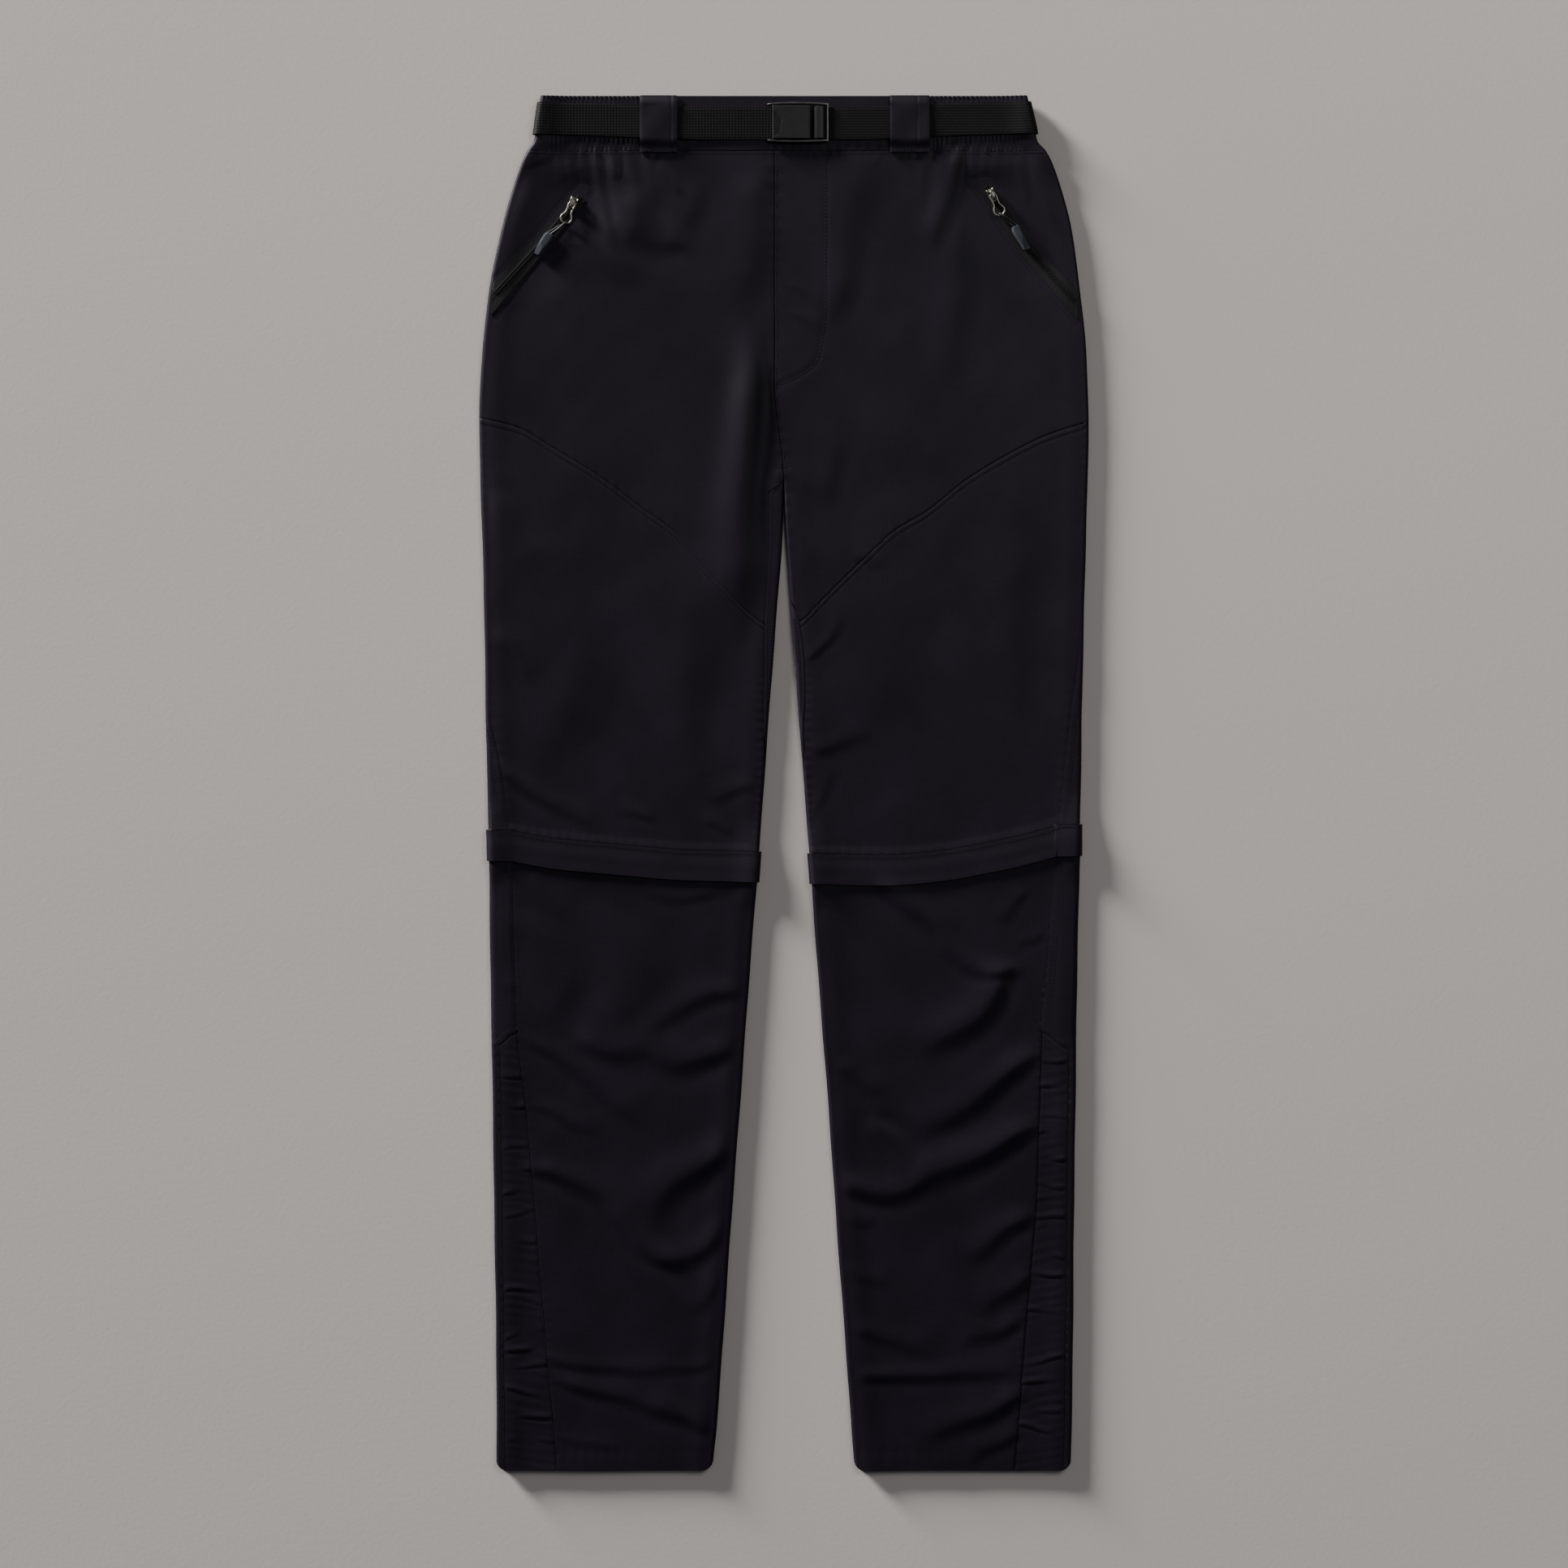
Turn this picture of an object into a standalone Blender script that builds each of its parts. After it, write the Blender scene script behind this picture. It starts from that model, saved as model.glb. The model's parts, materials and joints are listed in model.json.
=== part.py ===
"""Zip-off trousers laid flat with the front up, in metres, waist towards +Y, on the plane z = 0.

Sizes below are in millimetres. A place on the garment is given by x, from the centre line (left of it
negative, as seen from above), and by down, the distance below the top of the waistband. A place round a
leg is given by the run: the length of cloth from the outer fold, over the top, towards the inseam.
"""
import math

import bmesh
import bpy
import numpy as np
from mathutils.bvhtree import BVHTree

MM = 0.001
LENGTH = 1085.0          # top of the waistband to the hem
CLOTH = 1.2              # wall of the cloth
SEAM = 0.15              # each piece stops this far from the seam line
FOLD_SEAM = 0.42         # and this far where the seam lies on the roll of a fold
LAYER = CLOTH + 0.3      # from one layer of cloth to the next
FOLD_RADIUS = 2.1        # roll of the cloth at the edges
REST_GAP = 0.6           # between front and back away from the edges
QUARTER = 0.5 * math.pi * FOLD_RADIUS
PUFF_REACH = 12.0        # how far the roll at an edge reaches in
CROTCH = 310.0
WAISTBAND = 43.5
CENTRE_FRONT = -7.7      # the fly's edge lies a little left of the centre
FLY_BEND = 222.0         # below this it curves back to the centre
BAND_JOIN = 99.0         # the elastic band meets the plain front under the belt tunnels
KNEE_ZIP = 16.0          # height of the zip under the knee flap
KNEE_FLAP = 24.5
KNEE_SKEW = 0.02         # rows of the back panels run down towards the inseam by this share of the way left
FLAP_OUT = 1.8           # from the leg's cloth to the flap over it
WEBBING = 25.0
WEBBING_THICK = 1.5
GATHER_PITCH = 3.5
GATHER_HEIGHT = 0.45
GUSSET_GATHERS = 17
GUSSET_GATHER_HEIGHT = 0.6
BELT_OUT = 0.5 * CLOTH + 0.3 + GATHER_HEIGHT + 0.5 * WEBBING_THICK
LOOP_OUT = BELT_OUT + 0.5 * WEBBING_THICK + 0.3 + 0.5 * CLOTH
WAIST_LIFT = 0.3 + WEBBING_THICK + GATHER_HEIGHT
WAIST_RAMP = 32.0        # the lift ends this far below the waistband
GATHER_RAMP = 25.0       # and the room for the gathers this far
FOLD_RAMP = 14.0         # folds start over this length below the waistband
CALM_EDGE = 9.0          # and die out about this near to an edge
FOLD_END = 0.35          # height of a fold at its ends, as a share
FORK_ABOVE = 10.0        # the legs part from this far above the crotch
FORK_RAMP = 14.0
KNEE_RISE_ABOVE = 28.0   # over the knee flap underneath, the front rises from this far above its seam
KNEE_RISE = 26.0
KNEE_FALL = 24.0         # and comes down over this length below it
CALF_CLEAR = 3.5         # the calf stays on the flap until this far below it
CALF_FALL = 12.0
OUTER_FOLD_X = 230.0     # about where the outer fold and the inseam fold lie, for heights beside them
INNER_FOLD_X = 20.0
BACK_START = 6.0         # above the crotch the flat part of a back panel starts this far from the centre
PANEL_GUESS = (225.0, 12.0)   # first guesses of x across a front panel and across a strip
STRIP_GUESS = (225.0, 190.0)

# Edges of the garment as it lies
OUTLINE_COLUMNS = ("down", "outer_left", "outer_right", "inseam")
OUTLINE = (
    (0.0, 192.0, 192.0, 0.0),
    (24.0, 195.5, 197.5, 0.0),
    (36.0, 197.5, 200.0, 0.0),
    (43.5, 202.5, 206.5, 0.0),
    (52.5, 206.7, 211.5, 0.0),
    (78.0, 215.7, 220.5, 0.0),
    (104.0, 222.7, 227.0, 0.0),
    (155.0, 233.0, 234.0, 0.0),
    (206.0, 238.7, 238.7, 0.0),
    (257.0, 240.6, 240.6, 0.0),
    (310.0, 239.4, 239.8, 0.0),
    (334.0, 238.7, 238.9, 0.6),
    (410.0, 236.8, 236.8, 6.0),
    (513.0, 234.9, 235.0, 13.5),
    (590.0, 233.4, 233.6, 19.2),
    (692.0, 231.7, 231.7, 26.9),
    (820.0, 229.8, 229.8, 36.5),
    (948.0, 227.8, 228.5, 45.7),
    (1085.0, 226.8, 226.8, 55.6),
)

# How far the side seam and the inseam lie in from their folds, on the front
LIP_COLUMNS = ("down", "outer_left", "outer_right", "inner_left", "inner_right")
LIPS = (
    (0.0, 1.2, 1.2, 1.2, 1.2),
    (300.0, 1.2, 1.2, 1.2, 1.2),
    (314.0, 1.2, 1.2, 12.0, 1.2),
    (395.0, 1.2, 1.2, 9.8, 1.2),
    (417.0, 1.2, 2.0, 9.3, 7.0),
    (446.0, 1.2, 4.6, 7.4, 8.3),
    (475.0, 2.0, 7.8, 5.6, 7.2),
    (500.0, 6.4, 10.4, 3.8, 4.2),
    (537.0, 12.8, 14.0, 1.2, 1.2),
    (575.0, 16.4, 17.3, 1.2, 1.2),
    (603.0, 18.5, 20.0, 1.2, 1.2),
    (683.0, 20.0, 23.4, 1.2, 1.2),
    (733.0, 20.6, 27.6, 1.2, 1.2),
    (800.0, 26.8, 29.4, 1.2, 1.2),
    (868.0, 32.0, 30.6, 1.2, 1.2),
    (962.0, 38.4, 37.6, 1.2, 1.2),
    (1085.0, 48.4, 45.4, 1.2, 1.2),
)
GUSSET_TOP = 736.0       # where the ankle gusset starts, at its inner corner
GUSSET_SLOPE = 0.75      # its top edge drops this much for each mm towards the fold
ANKLE_ZIP = (3.1, 7.0)   # run from the outer fold that the ankle zip covers

# The slanted seam between upper front and thigh, and the seam along the top of the knee flap
YOKE_EDGE = 240.0
YOKE_COLUMNS = ("in_from_edge", "left", "right")
YOKE = (
    (0.0, 254.0, 257.0),
    (31.0, 262.0, 267.0),
    (54.0, 275.5, 278.0),
    (96.0, 301.5, 303.0),
    (126.0, 324.0, 327.0),
    (153.0, 343.5, 343.5),
    (172.0, 367.0, 361.0),
    (194.0, 390.0, 382.0),
    (212.0, 408.0, 400.0),
    (226.0, 418.0, 414.0),
    (240.0, 424.0, 422.0),
)
KNEE_EDGE = 235.0
KNEE_COLUMNS = ("in_from_edge", "left", "right")
KNEE = (
    (0.0, 581.0, 575.0),
    (14.0, 578.5, 574.0),
    (26.0, 580.5, 577.0),
    (57.0, 586.0, 585.0),
    (117.0, 591.0, 595.5),
    (161.0, 594.5, 598.5),
    (216.0, 596.0, 597.5),
)

# The largest folds: soft ridges along a bent line, given by x and down at its start, bend and end,
# with the ridge's width and height
FOLDS = (
    (-38.0, 215.0, -30.0, 300.0, -34.0, 392.0, 11.0, 2.6),
    (-215.0, 530.0, -190.0, 548.0, -154.0, 572.0, 11.0, 2.2),
    (-128.0, 556.0, -80.0, 566.0, -26.0, 545.0, 12.0, 2.0),
    (-116.0, 618.0, -94.0, 626.0, -56.0, 626.0, 11.0, 2.0),
    (-184.0, 740.0, -156.0, 772.0, -122.0, 800.0, 12.0, 2.2),
    (-120.0, 745.0, -84.0, 735.0, -40.0, 738.0, 14.0, 2.2),
    (-183.0, 846.0, -138.0, 868.0, -96.0, 914.0, 14.0, 3.0),
    (-94.0, 914.0, -74.0, 905.0, -44.0, 884.0, 13.0, 2.6),
    (-98.0, 870.0, -70.0, 846.0, -46.0, 824.0, 14.0, 2.2),
    (-180.0, 990.0, -140.0, 998.0, -58.0, 993.0, 10.0, 2.2),
    (-168.0, 1010.0, -138.0, 1019.0, -62.0, 1047.0, 11.0, 3.0),
    (140.0, 52.0, 130.0, 82.0, 120.0, 112.0, 9.0, 2.4),
    (188.0, 280.0, 184.0, 360.0, 186.0, 470.0, 14.0, 2.2),
    (24.0, 562.0, 32.0, 545.0, 38.0, 530.0, 10.0, 2.0),
    (78.0, 616.0, 118.0, 652.0, 150.0, 680.0, 12.0, 2.6),
    (176.0, 688.0, 160.0, 728.0, 118.0, 744.0, 12.0, 2.4),
    (192.0, 752.0, 152.0, 780.0, 116.0, 808.0, 12.0, 2.8),
    (192.0, 808.0, 144.0, 838.0, 76.0, 850.0, 13.0, 3.0),
    (188.0, 878.0, 168.0, 894.0, 148.0, 910.0, 10.0, 2.2),
    (182.0, 962.0, 164.0, 970.0, 142.0, 976.0, 11.0, 2.0),
    (60.0, 1004.0, 116.0, 1000.0, 172.0, 1002.0, 11.0, 3.0),
    (184.0, 1020.0, 146.0, 1040.0, 116.0, 1052.0, 11.0, 2.6),
)

# Front belt tunnels and the buckle, across the waist
LOOP_LEFT = (-113.5, -84.3)
LOOP_RIGHT = (83.5, 114.5)
BUCKLE = (-13.4, 35.2)
BUCKLE_DOWN = (5.8, 37.2)
BELT_COLUMNS = ("x", "down")
BELT_RUN = (
    (-240.0, 17.5),
    (-195.0, 18.0),
    (-110.0, 20.5),
    (-60.0, 22.0),
    (60.0, 22.0),
    (110.0, 20.0),
    (195.0, 17.5),
    (240.0, 17.5),
)
BELT_FOLD_X = 195.0
BELT_BEND = (26.0, 18.0, 12.0, 6.0, 0.0)   # places where the belt bends towards the fold, in from it
TUNNEL_ROWS = (SEAM, 3.0, 6.0, 20.0, 36.5, 40.0, WAISTBAND + 1.0)
TUNNEL_RISE = (0.0, 0.55, 1.0, 1.0, 1.0, 0.55, 0.0)

# The slanted pocket zips: the edges of the tape from the slider to the outer fold, and where the middle of
# the slider, the end of the metal puller, the end of the cord and the end of the tab lie, as (x, down)
POCKETS = {
    "left": {
        "side": -1,
        "edges": ((-163.8, 76.5, -157.2, 82.5), (-197.8, 115.2, -191.6, 125.4),
                  (-230.0, 147.5, -231.0, 173.0)),
        "slider": (-166.7, 85.4), "puller": (-173.4, 101.2), "cord": (-183.4, 107.6), "tab": (-195.0, 124.5),
    },
    "right": {
        "side": 1,
        "edges": ((162.0, 68.5, 155.0, 74.5), (196.2, 117.8, 187.0, 124.8), (231.0, 153.5, 231.5, 177.0)),
        "slider": (164.2, 78.7), "puller": (171.4, 95.0), "cord": (181.0, 102.0), "tab": (191.4, 120.8),
    },
}
ZIP_THICK = 1.0
ZIP_OUT = 0.5 * CLOTH + 0.3 + 0.5 * ZIP_THICK
ZIP_REACH = 3.0          # a zip rests on the highest cloth this near, and a slider on the highest this near
SLIDER_REACH = 10.0
SLIDER = (11.0, 7.0, 1.8)
POST = (2.7, 4.1)        # from the crossbar to the near and far side of each post of the slider's bridge
POST_FOOT = -0.3         # the posts reach this far into the slider
BRIDGE_HALF_WIDTH = 1.0
BRIDGE_UNDER = 2.5       # above the slider's top
BRIDGE_TOP = 3.5
HINGE_RISE = 5.4         # of the slider's crossbar above the middle of the cloth's wall
PULLER_WIRE = 0.75
PULLER_BAR_HALF = 2.7
PULLER_END_RADIUS = 4.3
CORD_RADIUS = 0.8
# The cord round the puller's end: ahead towards the tab, sideways, and up from the middle of the wire
CORD_LOOP = (
    (4.2, 0.9, 1.5),
    (1.4, 0.5, 2.4),
    (-1.6, 0.3, 1.9),
    (-2.5, 0.0, 0.0),
    (-1.6, -0.3, -1.9),
    (1.4, -0.5, -2.4),
    (4.2, -0.9, -1.6),
)
CORD_APART = 1.1         # of its two strands from the middle, at the tab
TAB = (7.4, 3.0)         # width at the end by the cord, and thickness
TAB_TAPER = 0.28         # the far end is narrower by this share
TAB_RISE = 4.3

# The buckle: its left bar, the cover plate and the broad bar, across the waist
RAIL = 2.2
BUCKLE_THICK = 4.0
BUCKLE_BAR = (-8.8, -6.0)
END_BAR_WIDTH = 1.9
BAR_OVERLAP = 1.0        # of both bars into the rails
BAR_LOW = 0.2            # undersides and tops above the frame's underside
LEFT_BAR_TOP = 2.2
END_BAR_TOP = 3.2
PLATE = (-9.2, 20.7)
PLATE_HEIGHTS = (2.5, 4.3)
ROUND_BAR = (22.6, 32.6)
ROUND_BAR_HEIGHTS = (0.6, 4.0)
RAIL_BEVEL = 0.6
PLATE_BEVEL = 0.5
ROUND_BAR_BEVEL = 1.5
SLIDER_BEVEL = 0.6
TAB_BEVEL = 0.9

CLOTH_COLOUR = (0.011, 0.009, 0.015, 1.0)
WEBBING_COLOUR = (0.009, 0.009, 0.011, 1.0)
ZIP_COLOUR = (0.014, 0.014, 0.018, 1.0)
METAL_COLOUR = (0.42, 0.42, 0.43, 1.0)
PLATE_COLOUR = (0.02, 0.02, 0.022, 1.0)
TAB_COLOUR = (0.055, 0.06, 0.07, 1.0)


def smooth_curve(x, xs, ys):
    """A smooth curve through the points that never overshoots them (monotone cubic)."""
    xs, ys = np.asarray(xs, float), np.asarray(ys, float)
    steps = np.diff(xs)
    slopes = np.diff(ys) / steps
    same_way = slopes[1:] * slopes[:-1] > 0
    total = np.where(same_way, slopes[1:] + slopes[:-1], 1.0)
    tangents = np.zeros_like(ys)
    tangents[1:-1] = np.where(same_way, 2 * slopes[1:] * slopes[:-1] / total, 0.0)
    tangents[0], tangents[-1] = slopes[0], slopes[-1]
    x = np.clip(x, xs[0], xs[-1])
    i = np.clip(np.searchsorted(xs, x, side="right") - 1, 0, len(steps) - 1)
    t = (x - xs[i]) / steps[i]
    start = (1 + 2 * t) * (1 - t) ** 2 * ys[i] + t * (1 - t) ** 2 * steps[i] * tangents[i]
    end = t * t * (3 - 2 * t) * ys[i + 1] + t * t * (t - 1) * steps[i] * tangents[i + 1]
    return start + end


def read(rows, columns, key, value, at):
    """Look a column up at other places along the key column."""
    table = np.array(rows)
    return smooth_curve(at, table[:, columns.index(key)], table[:, columns.index(value)])


def ease(t):
    """0 before t = 0, 1 after t = 1, smooth between."""
    t = np.clip(t, 0.0, 1.0)
    return t * t * (3 - 2 * t)


def side_name(side):
    return "left" if side < 0 else "right"


def outer_edge(side, down):
    return read(OUTLINE, OUTLINE_COLUMNS, "down", "outer_" + side_name(side), down) - 0.5 * CLOTH


def inseam_edge(down):
    return read(OUTLINE, OUTLINE_COLUMNS, "down", "inseam", down) + 0.5 * CLOTH


def outer_lip(side, down):
    return read(LIPS, LIP_COLUMNS, "down", "outer_" + side_name(side), down)


def inner_lip(side, down):
    return read(LIPS, LIP_COLUMNS, "down", "inner_" + side_name(side), down)


def yoke_seam(side, x):
    return read(YOKE, YOKE_COLUMNS, "in_from_edge", side_name(side), YOKE_EDGE - np.abs(x))


def knee_seam(side, x):
    return read(KNEE, KNEE_COLUMNS, "in_from_edge", side_name(side), KNEE_EDGE - np.abs(x))


def centre_seam(down):
    """The fly's edge runs straight, then curves back to the centre at the crotch."""
    return CENTRE_FRONT * (1.0 - ease((down - FLY_BEND) / (CROTCH - FLY_BEND)))


def belt_middle(x):
    return read(BELT_RUN, BELT_COLUMNS, "x", "down", x)


def waist_lift(down):
    """The back waistband lies on the belt; below it the panels come down to the surface."""
    return WAIST_LIFT * (1.0 - ease((down - WAISTBAND) / WAIST_RAMP))


def folds(x, down):
    """Height of the ridges: each fades with the distance from its bent line and towards its ends."""
    height = np.zeros(np.shape(x))
    for x1, down1, x2, down2, x3, down3, width, top in FOLDS:
        nearest = np.full(np.shape(x), 1e9)
        along = np.zeros(np.shape(x))
        for half, ax, ad, bx, bd in ((0.0, x1, down1, x2, down2), (1.0, x2, down2, x3, down3)):
            run_x, run_d = bx - ax, bd - ad
            t = np.clip(((x - ax) * run_x + (down - ad) * run_d) / (run_x ** 2 + run_d ** 2), 0.0, 1.0)
            distance = np.hypot(x - ax - t * run_x, down - ad - t * run_d)
            along = np.where(distance < nearest, 0.5 * (half + t), along)
            nearest = np.minimum(nearest, distance)
        taper = FOLD_END + (1.0 - FOLD_END) * np.sin(math.pi * along)
        height = np.maximum(height, top * taper * np.exp(-(nearest / width) ** 2))
    return height


def knee_lift_top(side, x, down):
    """Near the knee the front rises over the flap that lies underneath the leg."""
    past = down - knee_seam(side, x)
    rise = ease((past + KNEE_RISE_ABOVE) / KNEE_RISE)
    return FLAP_OUT * rise * (1.0 - ease((past - KNEE_FLAP) / KNEE_FALL))


def knee_lift_under(side, x, down):
    """Under the leg, the zip and the top of the calf lie on the flap."""
    past = down - knee_seam(side, x)
    return FLAP_OUT * (1.0 - ease((past - KNEE_FLAP - CALF_CLEAR) / CALF_FALL))


def top_height(side, x, down):
    """Middle of the front wall: back wall, a small gap, the roll at the edges, and the folds."""
    from_outer = outer_edge(side, down) - FOLD_RADIUS - np.abs(x)
    above_crotch = np.maximum(CROTCH - down, 0.0)
    from_inner = np.hypot(np.abs(x) - inseam_edge(down), above_crotch) - FOLD_RADIUS
    from_outer = np.maximum(from_outer, 0.0)
    from_inner = np.maximum(from_inner, 0.0)
    puff = np.exp(-(from_outer / PUFF_REACH) ** 2) + np.exp(-(from_inner / PUFF_REACH) ** 2)
    puff = np.minimum(puff, 1.0)
    low = CLOTH + REST_GAP
    free = 1.0 - np.exp(-(np.minimum(from_outer, from_inner) / CALM_EDGE) ** 2)
    below_waist = ease((down - WAISTBAND) / FOLD_RAMP)
    base = 0.5 * CLOTH + waist_lift(down) + knee_lift_top(side, x, down)
    gather_room = GATHER_HEIGHT * (1.0 - ease((down - WAISTBAND) / GATHER_RAMP))
    rolled = base + gather_room + low + (2.0 * FOLD_RADIUS - low) * puff
    return rolled + folds(x, down) * free * below_waist


def fold_section(run, out):
    """Round a fold: how far in from the fold line, and how far above its centre, the cloth lies."""
    angle = np.clip(run, -QUARTER, QUARTER) / FOLD_RADIUS
    inset = FOLD_RADIUS - (FOLD_RADIUS + out) * np.cos(angle) + np.maximum(np.abs(run) - QUARTER, 0.0)
    rise = (FOLD_RADIUS + out) * np.sin(angle)
    return inset, rise


def fold_height(side, x, down, run, out, under, edge_x):
    """Height round a fold, meeting the top of the garment above and the surface below."""
    _, rise = fold_section(run, out)
    centre = 0.5 * CLOTH + under + FOLD_RADIUS
    meet = top_height(side, edge_x, down) - centre - FOLD_RADIUS
    rolled = centre + rise + np.clip(rise / (FOLD_RADIUS + out), 0.0, 1.0) * meet
    return np.where(run > QUARTER, top_height(side, x, down) + out, rolled)


def panel_width(side, down):
    """Run of cloth over the top, from the outer fold to the inseam fold, or above the crotch to the fly."""
    half = outer_edge(side, down) - FOLD_RADIUS + QUARTER
    to_fly = half - side * centre_seam(down) + inner_lip(side, down)
    to_inseam = half - inseam_edge(down) - FOLD_RADIUS + QUARTER
    return to_fly + (to_inseam - to_fly) * forked(down)


def forked(down):
    """0 where the garment is one tube, 1 where the two legs have parted."""
    return ease((down - (CROTCH - FORK_ABOVE)) / FORK_RAMP)


def outer_point(side, run, down, out=0.0, under=None):
    """A point of the cloth, by its run from the outer fold; negative runs are underneath."""
    under = waist_lift(down) if under is None else under
    inset, _ = fold_section(run, out)
    edge = outer_edge(side, down)
    x = side * (edge - inset)
    return x, fold_height(side, x, down, run, out, under, side * (edge - FOLD_RADIUS))


def inner_point(side, run, down, out=0.0, under=None, back=False):
    """The same by the run from the inseam fold. Above the crotch the cloth lies flat to the centre."""
    under = waist_lift(down) if under is None else under
    inset, _ = fold_section(run, out)
    edge = inseam_edge(down)
    x = side * (edge + inset)
    z = fold_height(side, x, down, run, out, under, side * (edge + FOLD_RADIUS))
    beside = inner_lip(side, down)
    if back:
        x_flat = side * (beside - run)
        z_flat = 0.5 * CLOTH + under - out + 0.0 * x_flat
    else:
        x_flat = centre_seam(down) + side * (run - beside)
        z_flat = top_height(side, x_flat, down) + out
    part = forked(down)
    return x_flat + part * (x - x_flat), z_flat + part * (z - z_flat)


def seam_gap(lip):
    return np.where(lip < QUARTER, FOLD_SEAM, SEAM)


def spread(start, end, cells):
    """Runs across a panel: short steps at each end for the folded edge, the rest even."""
    first = [start, start + 1.0, start + 2.1, start + 9.0]
    last = [end - 9.0, end - 2.1, end - 1.0, end]
    middle = [first[-1] + (last[0] - first[-1]) * i / cells for i in range(1, cells)]
    return [*first, *middle, *last]


def front_panel(side, cells, shares, top, bottom, under, out=0.0):
    """Grid of a front panel. Rows share out the way from its top seam to its bottom seam, and columns
    share out the run from its outer seam to its inner one, so the grid is solved by going round."""
    shares = np.asarray(shares)[:, None]
    x = side * np.linspace(*PANEL_GUESS, cells + 7)[None, :] + 0.0 * shares
    for _ in range(60):
        upper, lower = top(x) + SEAM, bottom(x) - SEAM
        down = upper + (lower - upper) * shares
        width = panel_width(side, down)
        outer, inner = outer_lip(side, down), inner_lip(side, down)
        columns = spread(outer + seam_gap(outer), width - inner - seam_gap(inner), cells)
        run = np.stack([column[:, i] for i, column in enumerate(columns)], axis=1)
        near_inner = width - run < run
        x_out, z_out = outer_point(side, run, down, out, under(x, down))
        x_in, z_in = inner_point(side, width - run, down, out, under(x, down))
        x = np.where(near_inner, x_in, x_out)
    return x, np.where(near_inner, z_in, z_out), down


def strip(side, cells, shares, top, bottom, start, end):
    """Grid of a panel that lies between two runs from the outer fold."""
    shares = np.asarray(shares)[:, None]
    x = side * np.linspace(*STRIP_GUESS, cells + 1)[None, :] + 0.0 * shares
    for _ in range(40):
        upper, lower = top(x) + SEAM, bottom(x) - SEAM
        down = upper + (lower - upper) * shares
        first, last = start(down), end(down)
        run = first + (last - first) * np.linspace(0.0, 1.0, cells + 1)[None, :]
        x, z = outer_point(side, run, down)
    return x, z, down


def back_panel(side, outer_down, inner_down, lip, under, out=0.0, across=2):
    """Grid of a back panel: from its lip on the front, round the outer fold, under the leg, and round
    the inseam fold to its other lip. Rows run between the given places at the two folds."""
    outer_down, inner_down = np.asarray(outer_down), np.asarray(inner_down)
    columns = []
    for station in range(7):
        down = outer_down
        reach = lip(down) - seam_gap(lip(down))
        bend = np.minimum(QUARTER, 0.6 * reach)
        runs = (reach, 0.5 * (reach + bend), bend, 0.5 * bend,
                0.0 * bend, 0.0 * bend - 0.5 * QUARTER, 0.0 * bend - QUARTER)
        x, z = outer_point(side, runs[station], down, out, under(side * OUTER_FOLD_X + 0.0 * down, down))
        columns.append((x, z, down))
    for i in range(1, across + 1):
        part = i / (across + 1)
        down = outer_down + (inner_down - outer_down) * part
        edge = outer_edge(side, down) - FOLD_RADIUS
        fork = forked(down)
        inner_x = (inseam_edge(down) + FOLD_RADIUS) * fork + BACK_START * (1.0 - fork)
        x = side * (edge + (inner_x - edge) * part)
        columns.append((x, 0.5 * CLOTH + under(x, down) - out, down))
    for station in range(6):
        down = inner_down
        reach = inner_lip(side, down) - seam_gap(inner_lip(side, down))
        bend = np.minimum(QUARTER, 0.6 * reach)
        runs = (0.0 * bend - QUARTER, 0.0 * bend - 0.5 * QUARTER, 0.0 * bend, 0.5 * bend, bend, reach)
        beneath = under(side * INNER_FOLD_X + 0.0 * down, down)
        x, z = inner_point(side, runs[station], down, out, beneath, back=True)
        columns.append((x, z, down))
    x, z, down = (np.stack([column[i] for column in columns], axis=1) for i in range(3))
    return x, z, down


def grid_faces(grid):
    """Points, in millimetres, and four-sided faces of a grid."""
    x, z, down = grid
    rows, columns = np.shape(x)
    points = np.stack([x, 0.5 * LENGTH - down, z], axis=-1).reshape(-1, 3)
    index = np.arange(rows * columns).reshape(rows, columns)
    quads = np.stack([index[:-1, :-1], index[1:, :-1], index[1:, 1:], index[:-1, 1:]], axis=-1)
    return points.tolist(), quads.reshape(-1, 4).tolist()


def wall(name, grid, thickness, material, collection):
    """Make a wall of the given thickness, half of it on each side of a grid of points."""
    points, quads = grid_faces(grid)
    mesh = bpy.data.meshes.new(name)
    mesh.from_pydata((np.array(points) * MM).tolist(), [], quads)
    mesh.materials.append(material)
    mesh.shade_smooth()
    obj = bpy.data.objects.new(name, mesh)
    collection.objects.link(obj)
    solid = obj.modifiers.new("Wall", "SOLIDIFY")
    solid.thickness = thickness * MM
    solid.offset = 0.0
    solid.use_even_offset = False
    solid.use_quality_normals = True
    return obj


def make_material(name, colour, roughness, metallic=0.0):
    material = bpy.data.materials.new(name)
    material.use_nodes = True
    shader = material.node_tree.nodes["Principled BSDF"]
    shader.inputs["Base Color"].default_value = colour
    shader.inputs["Roughness"].default_value = roughness
    shader.inputs["Metallic"].default_value = metallic
    material.diffuse_color = colour
    return material


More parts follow.
